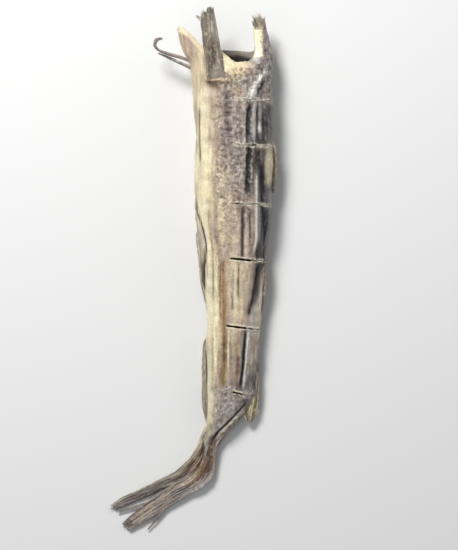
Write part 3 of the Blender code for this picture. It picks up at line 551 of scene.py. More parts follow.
# Bands of colour along a flank, from belly to back: its line as (Y, X) points, and the colours met along Y.
NEAR_BANDS = [
    ([(260, -8), (204, 3), (120, 4), (72, 2), (60, 3), (46, 6), (18, 10), (0, 8.5), (-50, 9.5), (-85, 14),
      (-190, 15), (-232, -4)],
     [(255, "tan"), (236, "tan"), (210, "grey_cream"), (190, "tan"), (150, "grey_tan"), (140, "grey_cream"),
      (125, "bright_cream"), (105, "grey_cream"), (92, "tan"), (75, "tan"), (40, "grey_tan"),
      (22, "olive_grey"), (5, "olive_brown"), (-50, "olive_brown"), (-75, "grey_tan"), (-112, "tan"),
      (-130, "mauve"), (-145, "grey_tan"), (-190, "grey_tan")]),
    ([(260, 0), (204, 10), (120, 12), (80, 11), (60, 14), (46, 18), (18, 20), (0, 19.5), (-60, 20.5),
      (-150, 21.5), (-190, 20.5), (-232, 0)],
     [(255, "tan"), (236, "buff"), (214, "buff"), (200, "cream"), (185, "grey_cream"), (170, "cream"),
      (130, "buff"), (110, "cream"), (95, "cream"), (80, "bright_cream"), (55, "cream"),
      (20, "bright_cream"), (5, "cream"), (-14, "cream"), (-40, "bright_cream"), (-55, "bright_cream"),
      (-80, "cream"), (-90, "grey_tan"), (-115, "tan"), (-130, "grey_cream"), (-175, "grey_cream"),
      (-190, "grey")]),
    ([(260, 8), (204, 17), (120, 19), (60, 21.5), (46, 25), (11, 28), (0, 28), (-60, 28), (-150, 25.5),
      (-190, 23), (-232, 3)],
     [(255, "cream"), (236, "buff"), (222, "tan"), (210, "tan"), (198, "buff"), (185, "cream"),
      (170, "buff"), (155, "cream"), (140, "bright_cream"), (92, "butter"), (78, "cream"), (65, "buff"),
      (50, "tan"), (36, "buff"), (20, "butter"), (5, "bright_cream"), (-35, "bright_cream"),
      (-50, "bright_cream"), (-110, "bright_cream"), (-120, "cream"), (-130, "buff"), (-145, "grey_cream"),
      (-160, "buff"), (-175, "grey_cream"), (-190, "buff")]),
    ([(260, 16), (204, 24), (120, 26), (60, 27.5), (11, 33), (0, 32.5), (-60, 32.5), (-150, 30), (-190, 26),
      (-232, 6)],
     [(255, "tan"), (222, "grey_tan"), (208, "tan"), (190, "tan"), (170, "buff"), (155, "tan"),
      (125, "buff"), (100, "tan"), (78, "buff"), (60, "tan"), (45, "grey_tan"), (20, "tan"), (5, "tan"),
      (-20, "straw"), (-60, "straw"), (-85, "buff"), (-100, "tan"), (-116, "tan"), (-132, "grey_tan"),
      (-150, "grey_cream"), (-190, "silver")]),
    ([(260, 26), (204, 32), (120, 33), (60, 35), (11, 39), (0, 38), (-60, 37.5), (-150, 36), (-190, 30),
      (-232, 9)],
     [(255, "tan"), (222, "grey_tan"), (208, "tan"), (185, "buff"), (170, "tan"), (155, "grey_tan"),
      (140, "tan"), (110, "buff"), (95, "cream"), (80, "cream"), (60, "butter"), (35, "butter"),
      (20, "tan"), (5, "tan"), (-25, "ochre"), (-50, "ochre"), (-72, "brown"), (-90, "red_brown"),
      (-118, "red_brown"), (-132, "brown"), (-145, "pink"), (-160, "silver"), (-190, "grey")]),
    ([(260, 36), (204, 41), (120, 43), (60, 43), (0, 44), (-60, 43.5), (-150, 42), (-190, 33), (-232, 12)],
     [(255, "cream"), (236, "buff"), (222, "grey_tan"), (208, "mauve"), (198, "dusk"), (168, "dusk"),
      (155, "mauve"), (140, "grey_tan"), (124, "tan"), (100, "buff"), (80, "buff"), (20, "tan"),
      (5, "buff"), (-40, "buff"), (-52, "tan"), (-72, "mauve"), (-90, "brown"), (-108, "mauve"),
      (-122, "tan"), (-150, "silver"), (-190, "grey")]),
    ([(260, 50), (204, 52), (120, 52), (60, 51), (0, 50), (-60, 49), (-150, 49), (-190, 38), (-232, 15)],
     [(255, "butter"), (236, "butter"), (226, "olive_grey"), (210, "tan"), (190, "mauve"), (155, "mauve"),
      (140, "grey"), (90, "grey_tan"), (80, "tan"), (65, "buff"), (50, "tan"), (35, "cream"), (5, "cream"),
      (-10, "cream"), (-25, "bright_cream"), (-50, "cream"), (-68, "buff"), (-85, "buff"), (-100, "tan"),
      (-132, "grey_tan"), (-150, "mauve"), (-162, "frost"), (-178, "mauve")]),
    ([(260, 60), (204, 60), (120, 60), (60, 56), (0, 58), (-60, 57), (-120, 56), (-190, 43), (-232, 16.5)],
     [(255, "butter"), (240, "cream"), (226, "grey"), (210, "pink"), (196, "grey_tan"), (185, "mauve"),
      (150, "mauve"), (102, "grey"), (80, "grey_tan"), (65, "tan"), (48, "tan"), (34, "grey_tan"),
      (20, "grey_tan"), (5, "buff"), (-25, "buff"), (-40, "cream"), (-56, "cream"), (-68, "tan"),
      (-100, "brown"), (-114, "dark_brown"), (-132, "brown"), (-145, "dark_brown"), (-162, "frost"),
      (-176, "mauve")]),
    ([(260, 68), (204, 66.5), (112, 66.5), (60, 65), (0, 64), (-25, 65), (-40, 64), (-60, 62), (-120, 60.5),
      (-190, 46), (-232, 18)],
     [(250, "tan"), (236, "mauve"), (222, "grey"), (203, "grey"), (195, "dark_grey"), (185, "umber"),
      (165, "umber"), (155, "dark_grey"), (140, "dark_brown"), (125, "black"), (112, "dark_grey"),
      (92, "dark_brown"), (82, "grey_tan"), (70, "dark_brown"), (60, "dark_brown"), (46, "grey_tan"),
      (36, "buff"), (5, "buff"), (-20, "buff"), (-44, "tan"), (-58, "tan"), (-68, "grey_tan"),
      (-82, "dark_grey"), (-100, "dark_brown"), (-115, "dark_grey"), (-130, "umber"), (-145, "dark_grey"),
      (-160, "silver"), (-180, "mauve")]),
    ([(260, 73), (204, 72), (60, 71.5), (0, 71), (-30, 70.5), (-60, 66.5), (-76, 68), (-120, 65),
      (-190, 48), (-232, 19)],
     [(250, "tan"), (236, "grey"), (224, "silver"), (212, "silver"), (200, "mauve"), (185, "slate"),
      (170, "dusk"), (155, "dark_grey"), (140, "slate"), (124, "umber"), (110, "dark_grey"), (92, "dusk"),
      (80, "tan"), (66, "tan"), (50, "grey_tan"), (35, "grey_tan"), (20, "mauve"), (5, "tan"),
      (-12, "grey_tan"), (-26, "mauve"), (-40, "dusk"), (-55, "grey_tan"), (-68, "mauve"), (-84, "frost"),
      (-100, "silver"), (-116, "grey"), (-130, "silver"), (-145, "dark_grey"), (-160, "mauve")]),
    ([(260, 79), (204, 77.5), (148, 78), (60, 78), (12, 79), (0, 78.5), (-30, 76.5), (-60, 72), (-120, 70),
      (-190, 50), (-232, 20)],
     [(250, "mauve"), (236, "grey"), (225, "silver"), (214, "silver"), (200, "silver"), (185, "mauve"),
      (170, "dusk"), (156, "slate"), (148, "umber"), (132, "umber"), (120, "dark_grey"), (108, "mauve"),
      (95, "grey"), (80, "grey"), (65, "silver"), (50, "grey"), (38, "mauve"), (26, "slate"),
      (10, "dark_grey"), (-4, "umber"), (-20, "umber"), (-38, "dark_grey"), (-50, "silver"),
      (-72, "silver"), (-85, "grey_tan"), (-110, "grey_tan"), (-128, "dusk"), (-138, "dark_grey"),
      (-148, "grey"), (-158, "dark_grey"), (-170, "mauve")]),
    ([(260, 86), (204, 85), (120, 84), (60, 85), (12, 86), (0, 86), (-30, 83), (-60, 78), (-120, 75),
      (-190, 52), (-232, 21)],
     [(250, "mauve"), (236, "grey"), (222, "dark_grey"), (210, "dusk"), (198, "dusk"), (185, "dark_grey"),
      (172, "black"), (162, "umber"), (152, "dark_grey"), (128, "dark_grey"), (114, "black"), (95, "black"),
      (80, "dark_grey"), (65, "black"), (12, "black"), (4, "slate"), (-10, "tan"), (-28, "buff"),
      (-50, "grey_cream"), (-70, "grey_cream"), (-86, "grey_tan"), (-120, "grey"), (-134, "dark_grey"),
      (-148, "grey"), (-162, "mauve"), (-176, "dark_grey"), (-190, "dusk")]),
    ([(260, 94), (204, 93), (120, 92), (60, 92), (0, 89), (-60, 82), (-120, 79), (-190, 54), (-232, 22)],
     [(250, "grey"), (222, "grey"), (206, "grey_tan"), (196, "slate"), (172, "black"), (158, "slate"),
      (144, "cream"), (112, "cream"), (98, "dark_grey"), (82, "dusk"), (66, "slate"), (36, "umber"),
      (22, "mauve"), (-10, "grey"), (-26, "cream"), (-60, "cream"), (-74, "cream"), (-86, "grey"),
      (-104, "dusk"), (-118, "dark_grey"), (-135, "dark_grey"), (-160, "mauve"), (-232, "mauve")]),
]
FAR_BANDS = [
    ([(260, -8), (120, 4), (-60, 14), (-232, -4)], [(250, "cream"), (60, "cream"), (-190, "grey_cream")]),
    ([(260, 14), (120, 18), (-60, 22), (-232, 2)], [(250, "cream"), (60, "bright_cream"), (-190, "cream")]),
    ([(260, 30), (120, 34), (-60, 34), (-232, 8)],
     [(250, "tan"), (60, "peach"), (-130, "tan"), (-190, "mauve")]),
    ([(260, 48), (120, 50), (-60, 46), (-232, 13)],
     [(250, "tan"), (60, "grey"), (-130, "tan"), (-190, "mauve")]),
    ([(260, 66), (120, 66), (-60, 60), (-232, 17)], [(250, "mauve"), (60, "mauve"), (-190, "mauve")]),
    ([(260, 80), (120, 80), (-60, 71), (-232, 20)],
     [(250, "dark_grey"), (60, "blue_grey"), (-190, "mauve")]),
    ([(260, 92), (120, 92), (-60, 80), (-232, 22)], [(250, "mauve"), (60, "dark_grey"), (-190, "mauve")]),
]


def banded(points, bands, seed):
    """Colours of a flank from its bands, each giving way to the next over part of the gap between them."""
    wander = 1.1 * noise(points, 40, 30, seed) + 0.8 * noise(points, 5, 12, seed + 1)
    wander = wander + 0.5 * noise(points, 2.4, 4, seed + 5)
    x, y = points[..., 0] + wander, points[..., 1] + 5 * noise(points, 9, 30, seed + 2)
    tint, before = None, None
    for line, stops in bands:
        centre = through(line)(y)
        places = [place for place, _ in sorted(stops)]
        parts = np.array([linear(name) for _, name in sorted(stops)]).T
        here = np.stack([np.interp(y, places, part) for part in parts], axis=-1)
        if tint is None:
            tint = here
        else:
            share = step((x - before) / (centre - before) * BAND_SHARPNESS - (BAND_SHARPNESS - 1) / 2)
            tint = tint + (here - tint) * share[..., None]
        before = centre
    return tint


def washed(tint, name, amount):
    """The tint moved towards a named colour by an amount from 0 to 1."""
    return tint + (linear(name) - tint) * np.clip(amount, 0, 1)[..., None]


# Patches in a surface's colour: (colour, strength, size across, size along, contrast, least, seed).
SCALE_PATCHES = [
    ("dark_brown", 0.36, 4.6, 6.5, 2.4, 0.5, 133), ("silver", 0.42, 4.0, 6.0, 2.4, 0.6, 132),
    ("pink", 0.35, 7, 10, 2.4, 0.7, 141), ("umber", 0.45, 2.3, 3.0, 3, 1.4, 142),
]
SCALE_FLECKS = [("frost", 0.5, 2.2, 3.0, 3, 1.5, 143)]
FLESH_STREAKS = [("brown", 0.34, 3.0, 34, 2.4, 0.6, 134), ("bright_cream", 0.36, 2.4, 30, 2.4, 0.7, 135)]
WEDGE_SPECKS = [("black", 0.6, 2.8, 3.6, 2.4, 0.2, 138)]
RED_SPECKS = [("dark_brown", 0.75, 3.0, 4.4, 2.6, 0.5, 144)]
FIN_PATCHES = [
    ("dark_brown", 0.45, 2.6, 3.4, 3, 0.9, 10), ("grey_cream", 0.38, 2.4, 3.4, 3, 0.9, 11),
    ("tan", 0.35, 2.2, 3.0, 3, 1.1, 12),
]
RAY_PATCHES = [("dark_brown", 0.5, 2.6, 3.4, 3, 0.7, 5), ("grey_cream", 0.4, 2.4, 3.4, 3, 0.8, 6)]

# Single spots on the near flank: (colour, strength, place, reach). Some lie under the folds' colours, some
# over them; the frost and silver ones over them are painted highlights on the glossy dark back.
UNDER_SPOTS = [("dark_brown", 0.6, (65, 65), (3.5, 12)), ("umber", 0.7, (79.5, -139), (4, 9))]
SPOTS_AND_HIGHLIGHTS_OVER = [
    ("frost", 0.9, (80.5, 169), (1.9, 5)), ("silver", 0.7, (73, 166), (2.5, 8)),
    ("olive_grey", 0.5, (55, 229), (7, 5)),
]
WEDGE_SPECKED, WEDGE_SPECKED_REACH = (57, -168), (9, 9)
RED_SPECKED, RED_SPECKED_REACH = (38, -100), (5, 34)
HORN_SPOT, HORN_SPOT_REACH = (80, 251), (4.5, 6)
ORANGE_STAIN, ORANGE_STAIN_REACH = (57, 238), (9, 5)

# The nape's horn: where it rises, its side towards the belly, its bright face's far side, and where it
# frays.
HORN_Y, HORN_X, HORN_FACE_X, HORN_FRAYS_Y, HORN_TIP_Y = 252, 68, 85, 288, 300


def patched(points, tint, patches, where, seed=0):
    """The tint washed with each patch's colour, as strongly as `where` says.

    A patch lies where smooth noise of its size, times its contrast, stands above its least value.
    """
    for colour, strength, across, along, contrast, least, own in patches:
        shown = step(noise(points, across, along, seed + own) * contrast - least)
        tint = washed(tint, colour, strength * where * shown)
    return tint


def spotted(points, tint, spots, near):
    """The tint washed with each single spot's colour."""
    for colour, strength, place, reach in spots:
        tint = washed(tint, colour, strength * near * spot(points, place, reach))
    return tint


def mottled(points, tint, near):
    """The tint with patches, specks and pale flecks on scaly skin, and streaks along the fibres elsewhere."""
    scaly = np.where(near > 0.5, scaliness(points), 0.4)
    tint = washed(tint, "pale_mauve", 0.6 * tail_wedge(points) * near)
    tint = patched(points, tint, SCALE_PATCHES, scaly)
    # Painted shade in the creases of the scaly skin's crumple, the same wrinkles that relief sinks.
    tint = washed(tint, "umber", 0.3 * scaly * wrinkled(points, 3.8, 4.8, 21) ** 1.5)
    tint = patched(points, tint, SCALE_FLECKS, scaly)
    tint = patched(points, tint, FLESH_STREAKS, 1 - scaly)
    return tint * (1 + 0.13 * noise(points, 1.9, 22, 136) + 0.10 * noise(points, 1.7, 5, 137))[..., None]


def stained(points, tint, near):
    """The tint with what lies under the folds' colours: a rosy wash down the middle, spots and specks."""
    x, y = points[..., 0], points[..., 1]
    rosy = near * bell((x - 52) / 16) * step((140 - y) / 40) * step((y + 90) / 30)
    tint = washed(tint, "rose", 0.4 * rosy * (0.8 + 0.9 * noise(points, 5, 40, 146)))
    tint = spotted(points, tint, UNDER_SPOTS, near)
    specked = tail_wedge(points) * near * spot(points, WEDGE_SPECKED, WEDGE_SPECKED_REACH)
    tint = patched(points, tint, WEDGE_SPECKS, specked)
    return patched(points, tint, RED_SPECKS, near * spot(points, RED_SPECKED, RED_SPECKED_REACH))


def darkened_back(points, tint, near):
    """The tint darkened along the back between the first three saw cuts, in slate, black and brown: partly
    the back's dark skin and partly painted shade along the crease beside it.
    """
    x, y = points[..., 0], points[..., 1]
    before_second = near * step((y - 148) / 6) * step((201 - y) / 8)
    before_third = near * step((y - 84) / 14) * step((147 - y) / 8)
    # Slate and brown along the crease by the dark back are partly painted shade.
    tint = washed(tint, "slate", 0.6 * before_second * bell((x - 71) / 4))
    tint = washed(tint, "black", 0.35 * before_second * step((x - 78) / 5))
    return washed(tint, "umber", 0.6 * before_third * bell((x - 68.5) / 5))


def neck_tinted(points, tint, near, edge):
    """The tint with bare flesh at the cut neck and by the fin, and the horn's pale face and frayed tip."""
    x, y = points[..., 0], points[..., 1]
    flesh = step(edge * 3 - 0.35 + 0.6 * noise(points, 5, 5, 139))
    tint = washed(tint, "cream", flesh * (0.35 + 0.55 * step((74 - x) / 10) * near))
    tint = washed(tint, "bright_cream", 0.9 * bare_flesh(points) * near)
    horn = near * step((y - HORN_Y) / 6) * step((x - HORN_X) / 4)
    tint = washed(tint, "bright_cream", 0.95 * horn * step((HORN_FACE_X - x) / 2))
    tint = washed(tint, "dusk", 0.75 * near * spot(points, HORN_SPOT, HORN_SPOT_REACH))
    frayed = horn * step((y - HORN_FRAYS_Y) / 5 + 0.5 * noise(points, 4, 4, 145))
    tint = washed(tint, "dusk", 0.85 * frayed * step((80 - x) / 5))
    tint = washed(tint, "tan", 0.7 * frayed * step((x - 79) / 4))
    return washed(tint, "frost", 0.85 * frayed * step((y - HORN_TIP_Y) / 4))


def skin_tint(points, height, near, cuts, edge):
    """Colour of each point of the skin.

    Its flank's bands are mottled, with painted shade in the scaly skin's creases, and stained, then the
    folds' own colours, with painted shade in grooves and painted highlights on ridges, the dark back, partly
    painted shade, painted shade in the hollows, the cut neck, painted shade by the back's edge, painted
    highlights on the back, the skin over the near pectoral fin's base with painted shade behind its fold,
    and the saw cuts with painted shade inside them lie over them.
    """
    x, y = points[..., 0], points[..., 1]
    _, painted_cut_shade, lip = cuts
    tint = banded(points, NEAR_BANDS, 110)
    tint += (banded(points, FAR_BANDS, 120) - tint) * (1 - near)[..., None]
    tint = stained(points, mottled(points, tint, near), near)
    tint += (folds_tinted(points, tint, NEAR_FOLDS, 10) - tint) * near[..., None]
    tint += (folds_tinted(points, tint, FAR_FOLDS, 40) - tint) * (1 - near)[..., None]
    tint = darkened_back(points, tint, near)
    # Hollows are darkened as painted shade, and what stands up is rubbed pale.
    low, wide = sunk(height, 4, 4), sunk(height, 12, 8)
    tint *= (1 - 0.48 * step(low / 0.7) - 0.2 * step(wide / 1.6))[..., None]
    tint = washed(tint, "frost", 0.30 * step(-low / 0.6 - 0.1))
    tint = neck_tinted(points, tint, near, edge)
    # Painted shade along the back's edge between the first two saw cuts.
    tint = washed(tint, "umber", 0.6 * near * step((x - 87) / 4) * bell((y - 172) / 24))
    # Painted highlights in frost and silver on the dark back, and an olive-grey spot.
    tint = spotted(points, tint, SPOTS_AND_HIGHLIGHTS_OVER, near)
    orange = near * spot(points, ORANGE_STAIN, ORANGE_STAIN_REACH)
    tint = washed(tint, "orange", 0.7 * orange * (0.7 + 0.6 * noise(points, 5, 7, 140)))
    fold, hollow = fin_base(points)
    # Painted shade, red-brown, in the hollow behind the fold over the fin's base.
    tint = washed(tint, "red_brown", 0.75 * hollow * near)
    tint = washed(tint, "orange", 0.75 * fold * near)
    tint = washed(tint, "bright_cream", 0.95 * lip * near * step((68 - x) / 16))
    tint = washed(tint, "frost", 0.9 * lip * near * step((x - 50) / 16))
    # Painted shade inside the open saw cuts: umber, and darker still.
    return washed(tint, "umber", painted_cut_shade * near) * (1 - 0.75 * painted_cut_shade * near)[..., None]


# Crackle in the scaly skin: the cells' size and how far they are bent, and the share of light that a crack
# leaves.
CRACKLE_SIZE = 2.4
CRACKLE_BEND = 3.2
CRACKLE_DARKENS = 0.68
# Light and dark speckles in the scaly skin: their size, and how much they shade it.
SPECKLE_SIZE = 3.2
SPECKLE_SHADE = 0.3
# A fibre's width over its length.
FIBRE_SQUEEZE = 0.09


def as_metres(points):
    """Plan points as places in the frame, in metres."""
    low = np.array([fish_low.x, fish_low.y, fish_low.z])
    return (points - PLAN_CORNER) * UNIT + low


def joined_faces(index):
    """Triangles between each row of a grid of point numbers and the next, without collapsed ones."""
    a, b, c, d = index[:-1, :-1], index[:-1, 1:], index[1:, 1:], index[1:, :-1]
    faces = np.concatenate([np.stack(corners, -1).reshape(-1, 3) for corners in ((a, b, c), (a, c, d))])
    whole = (faces[:, 0] != faces[:, 1]) & (faces[:, 1] != faces[:, 2]) & (faces[:, 0] != faces[:, 2])
    return faces[whole]


def add_piece(name, points, faces, tint, gloss, cracked, materials, kinds=None):
    """A mesh piece of plan points and triangles, facing outwards, with tint, gloss and crackle per point."""
    used, faces = np.unique(faces, return_inverse=True)
    faces = faces.reshape(-1, 3)
    points, tint = points[used], tint[used]
    corners = points[faces]
    if np.einsum("ij,ij->", corners[:, 0], np.cross(corners[:, 1], corners[:, 2])) < 0:
        faces = faces[:, ::-1]
    mesh = bpy.data.meshes.new(name)
    mesh.from_pydata(as_metres(points).tolist(), [], faces.tolist())
    colour = mesh.attributes.new("tint", "FLOAT_COLOR", "POINT")
    rgba = np.concatenate([np.clip(tint, 0.004, 0.9), np.ones((len(tint), 1))], axis=1)
    colour.data.foreach_set("color", rgba.astype(np.float32).ravel())
    for label, values in (("gloss", gloss), ("cracked", cracked)):
        values = np.broadcast_to(values, used.max() + 1)[used]
        mesh.attributes.new(label, "FLOAT", "POINT").data.foreach_set("value", values.astype(np.float32))
    for material in materials:
        mesh.materials.append(material)
    if kinds is not None:
        mesh.polygons.foreach_set("material_index", kinds.astype(np.int32))
    mesh.shade_smooth()
    made = bpy.data.objects.new(name, mesh)
    bpy.context.scene.collection.objects.link(made)
    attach(made, "root")
    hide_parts("stockfish")
    return made


def finish(name, fibre, grain, depth, roughness, sheen):
    """A dried surface: its tint broken up by fibres along Y, by grain and by crackle, with a matching bump.

    `fibre` and `grain` are sizes in millimetres, `depth` is the bump's height, and the piece's gloss is
    taken away from `roughness`. The crackle's thin dark lines run round uneven cells, and speckles lie
    between them, both as strong as the piece is cracked.
    """
    material = bpy.data.materials.new(name)
    material.use_nodes = True
    nodes, links = material.node_tree.nodes, material.node_tree.links
    shader = nodes["Principled BSDF"]
    where = nodes.new("ShaderNodeTexCoord").outputs["Object"]
    lengthwise = nodes.new("ShaderNodeMapping")
    lengthwise.inputs["Scale"].default_value = (1, FIBRE_SQUEEZE, 1)
    links.new(where, lengthwise.inputs["Vector"])

    def texture(size, vector, detail, output="Fac"):
        made = nodes.new("ShaderNodeTexNoise")
        made.inputs["Scale"].default_value = 1000 / size
        made.inputs["Detail"].default_value = detail
        made.inputs["Roughness"].default_value = 0.6
        links.new(vector, made.inputs["Vector"])
        return made.outputs[output]

    def ranged(value, low, high, first=0.3, last=0.7):
        made = nodes.new("ShaderNodeMapRange")
        for socket, number in zip(("From Min", "From Max", "To Min", "To Max"), (first, last, low, high)):
            made.inputs[socket].default_value = number
        links.new(value, made.inputs["Value"])
        return made.outputs["Result"]

    def math(operation, *values):
        made = nodes.new("ShaderNodeMath")
        made.operation = operation
        for socket, value in zip(made.inputs, values):
            if isinstance(value, float):
                socket.default_value = value
            else:
                links.new(value, socket)
        return made.outputs[0]

    def attribute(label, output):
        made = nodes.new("ShaderNodeAttribute")
        made.attribute_name = label
        return made.outputs[output]

    fibres = texture(fibre, lengthwise.outputs["Vector"], 5)
    grains = texture(grain, where, 6)
    bent = nodes.new("ShaderNodeVectorMath")
    bent.operation = "MULTIPLY_ADD"
    bent.inputs[1].default_value = (CRACKLE_BEND / 1000,) * 3
    links.new(texture(CRACKLE_SIZE, where, 3, "Color"), bent.inputs[0])
    links.new(where, bent.inputs[2])
    cells = nodes.new("ShaderNodeTexVoronoi")
    cells.feature = "DISTANCE_TO_EDGE"
    cells.inputs["Scale"].default_value = 1000 / CRACKLE_SIZE
    links.new(bent.outputs["Vector"], cells.inputs["Vector"])
    line = ranged(cells.outputs["Distance"], 1, 0, 0, 0.14)
    patchy = ranged(texture(2.5 * CRACKLE_SIZE, where, 2), 0, 1, 0.42, 0.58)
    cracked = attribute("cracked", "Fac")
    crack = math("MULTIPLY", math("MULTIPLY", line, patchy), cracked)
    speckled = ranged(texture(SPECKLE_SIZE, where, 3), -SPECKLE_SHADE, SPECKLE_SHADE, 0.36, 0.64)
    speckles = math("MULTIPLY", speckled, cracked)
    shade = math("MULTIPLY", ranged(fibres, 0.86, 1.13), ranged(grains, 0.82, 1.16))
    shade = math("MULTIPLY", shade, ranged(crack, 1, CRACKLE_DARKENS, 0, 1))
    shade = math("MULTIPLY_ADD", shade, speckles, shade)
    scaled = nodes.new("ShaderNodeVectorMath")
    scaled.operation = "SCALE"
    links.new(attribute("tint", "Color"), scaled.inputs[0])
    links.new(shade, scaled.inputs["Scale"])
    links.new(scaled.outputs["Vector"], shader.inputs["Base Color"])
    rough = math("SUBTRACT", ranged(grains, roughness - 0.08, roughness + 0.08), attribute("gloss", "Fac"))
    links.new(rough, shader.inputs["Roughness"])
    shader.inputs["Sheen Weight"].default_value = sheen
    shader.inputs["Sheen Roughness"].default_value = 0.5
    height = math("SUBTRACT", math("MULTIPLY_ADD", grains, 0.8, fibres), math("MULTIPLY", crack, 0.9))
    bump = nodes.new("ShaderNodeBump")
    bump.inputs["Strength"].default_value = 0.6
    bump.inputs["Distance"].default_value = depth / 1000
    links.new(height, bump.inputs["Height"])
    links.new(bump.outputs["Normal"], shader.inputs["Normal"])
    return material


# Gloss of the flesh, of the near flank's skin, and of the dark back past its own place across.
FLESH_GLOSS, SKIN_GLOSS, BACK_GLOSS, BACK_GLOSS_X = 0.05, 0.06, 0.22, 74
LINING_CRACKED = 0.3
FIN_CRACKED = 0.25


def lining_tint(walls, depth_in):
    """Colour of the cavity's wall: brown flesh, silver at the cut edge as a painted highlight, and painted
    shade that darkens it the deeper it lies.
    """
    flesh = np.broadcast_to(linear("grey"), (*walls.shape[:2], 3))
    tint = washed(flesh, "brown", 0.5 + 0.5 * noise(walls, 9, 24, 161))
    # Painted highlight: silver near the cut edge.
    tint = washed(tint, "silver", 0.5 * step((4 - depth_in) / 3))
    # Painted shade: umber, then black, the deeper the wall lies.
    tint = washed(tint, "umber", step((depth_in - 3) / 4)) * (1 + 0.15 * noise(walls, 3, 5, 162))[..., None]
    return washed(tint, "black", 0.85 * step((depth_in - 5) / 6))


def body_faces(skin_index, wall_index, tip):
    """(triangles, which are flesh) of the body: skin, lining, the rim between them and the tail's closed end.

    The lining has one column for each few of the skin's, so the rim fans out from each of its columns.
    """
    skin_faces = joined_faces(skin_index)
    wall_faces = joined_faces(np.concatenate([skin_index[:, -1:], wall_index, skin_index[:, :1]], axis=1))
    rim_skin = skin_index[0, ::-1]
    groups = rim_skin[:-1].reshape(-1, LINING_EVERY)
    ends = np.append(groups[1:, 0], rim_skin[-1])
    fan = np.concatenate([groups, ends[:, None]], axis=1)
    half = LINING_EVERY // 2
    first, second = wall_index[0, :-1], wall_index[0, 1:]
    strips = [
        np.stack([fan[:, k], fan[:, k + 1], first if k < half else second], -1) for k in range(LINING_EVERY)
    ]
    rim_faces = np.concatenate([*strips, np.stack([fan[:, half], second, first], -1)])
    ring = skin_index[-1]
    tail_faces = np.stack([ring[:-1], np.full(len(ring) - 1, tip), ring[1:]], -1)
    groups = (skin_faces, wall_faces, rim_faces, tail_faces)
    kinds = np.repeat([0, 1, 1, 0], [len(group) for group in groups])
    return np.concatenate(groups), kinds


def make_body(skin, flesh):
    """The skin, the neck's cut edge, the belly slit and the cavity's lining, as one closed surface.

    Each row of the grid is a loop: it starts at the slit, goes over the near flank, the back and the far
    flank to the slit's other lip, and returns along the lining. Past the vent the lining has shrunk onto
    the lip and is left out.
    """
    rows, stretch = body_rows()
    share = cavity_share(rows)[:, None]
    at = slit(rows)[:, None]
    gap = SLIT_HALF_ANGLE * share
    even, at_rim = column_shares(slit(NECK_Y), 0), column_shares(slit(NECK_Y), RIM_PULL)
    blend = even + stretch[:, None] * (at_rim - even)
    angle = at - gap - blend * (360 - 2 * gap)
    y = rows[:, None] + stretch[:, None] * (rim(unwound(angle)) - NECK_Y)
    y = y + cut_lean(smooth_skin(angle, y)[..., 0], y) * (1 - stretch[:, None])
    plain = smooth_skin(angle, y) * (1, 0, 1)
    y = y + stretch[:, None] ** 3 * (1.4 * noise(plain, 3.2, 9, 5) + 1.8 * np.abs(noise(plain, 6.5, 9, 6)))

    base = smooth_skin(angle, y)
    normal = outward(base)
    near = step(np.sin(np.radians(angle)) * FLANK_EDGE + 0.15)
    height = relief(base, near, NEAR_FOLDS, 10) * near + relief(base, near, FAR_FOLDS, 40) * (1 - near)
    height = height * (0.35 + 0.65 * step((y - TAIL_ROOT_Y) / 30))
    fold, hollow = fin_base(base)
    height += near * (3.0 * fold - 2.0 * hollow)
    cuts = saw_cuts(base)
    points = base + normal * (height - cuts[0] * near)[..., None]
    below_rim = rim(unwound(angle)) - y
    edge = np.clip(1 - below_rim / RIM_BEVEL, 0, 1) * (stretch[:, None] > 0)
    points += (RIM_TURN * edge**1.3)[..., None] * (lining(angle, y, at) - points)
    points[..., 2] = np.maximum(points[..., 2], 0)
    tint = skin_tint(base, height, near, cuts, edge)
    gloss = near * (BACK_GLOSS * step((base[..., 0] - BACK_GLOSS_X) / 6) + SKIN_GLOSS) + FLESH_GLOSS
    cracked = scaliness(base) * near * (1 - step(edge * 1.6)) * (1 - bare_flesh(base))

    lined, y_lined = angle[:, ::-LINING_EVERY], y[:, ::-LINING_EVERY]
    walls = lining(lined, y_lined, at)
    walls += outward(walls) * (0.5 * layered(walls, 8, 20, 160) * share)[..., None]
    depth_in = rim(unwound(lined)) - y_lined + 2.5 * noise(walls, 6, 6, 163)
    wall_tint = lining_tint(walls, depth_in)

    count, width = angle.shape
    skin_index = np.arange(count * width).reshape(count, width)
    wall_index = count * width + np.arange(count * walls.shape[1]).reshape(count, -1)
    tip = count * width + wall_index.size
    closed = share[:, 0] < 1e-6
    skin_index[closed, -1] = skin_index[closed, 0]
    wall_index[closed] = skin_index[closed, :1]
    faces, kinds = body_faces(skin_index, wall_index, tip)
    tail = points[-1, :-1].mean(axis=0)
    every_point = np.concatenate([points.reshape(-1, 3), walls.reshape(-1, 3), tail[None]])
    every_tint = np.concatenate([tint.reshape(-1, 3), wall_tint.reshape(-1, 3), tint[-1, :1]])
    every_gloss = np.concatenate([gloss.reshape(-1), np.full(wall_index.size + 1, FLESH_GLOSS)])
    every_crack = np.concatenate([cracked.reshape(-1), np.full(wall_index.size + 1, LINING_CRACKED)])
    looks = every_tint, every_gloss, every_crack
    add_piece("skin_and_flesh", every_point, faces, *looks, [skin, flesh], kinds)
    return points, near


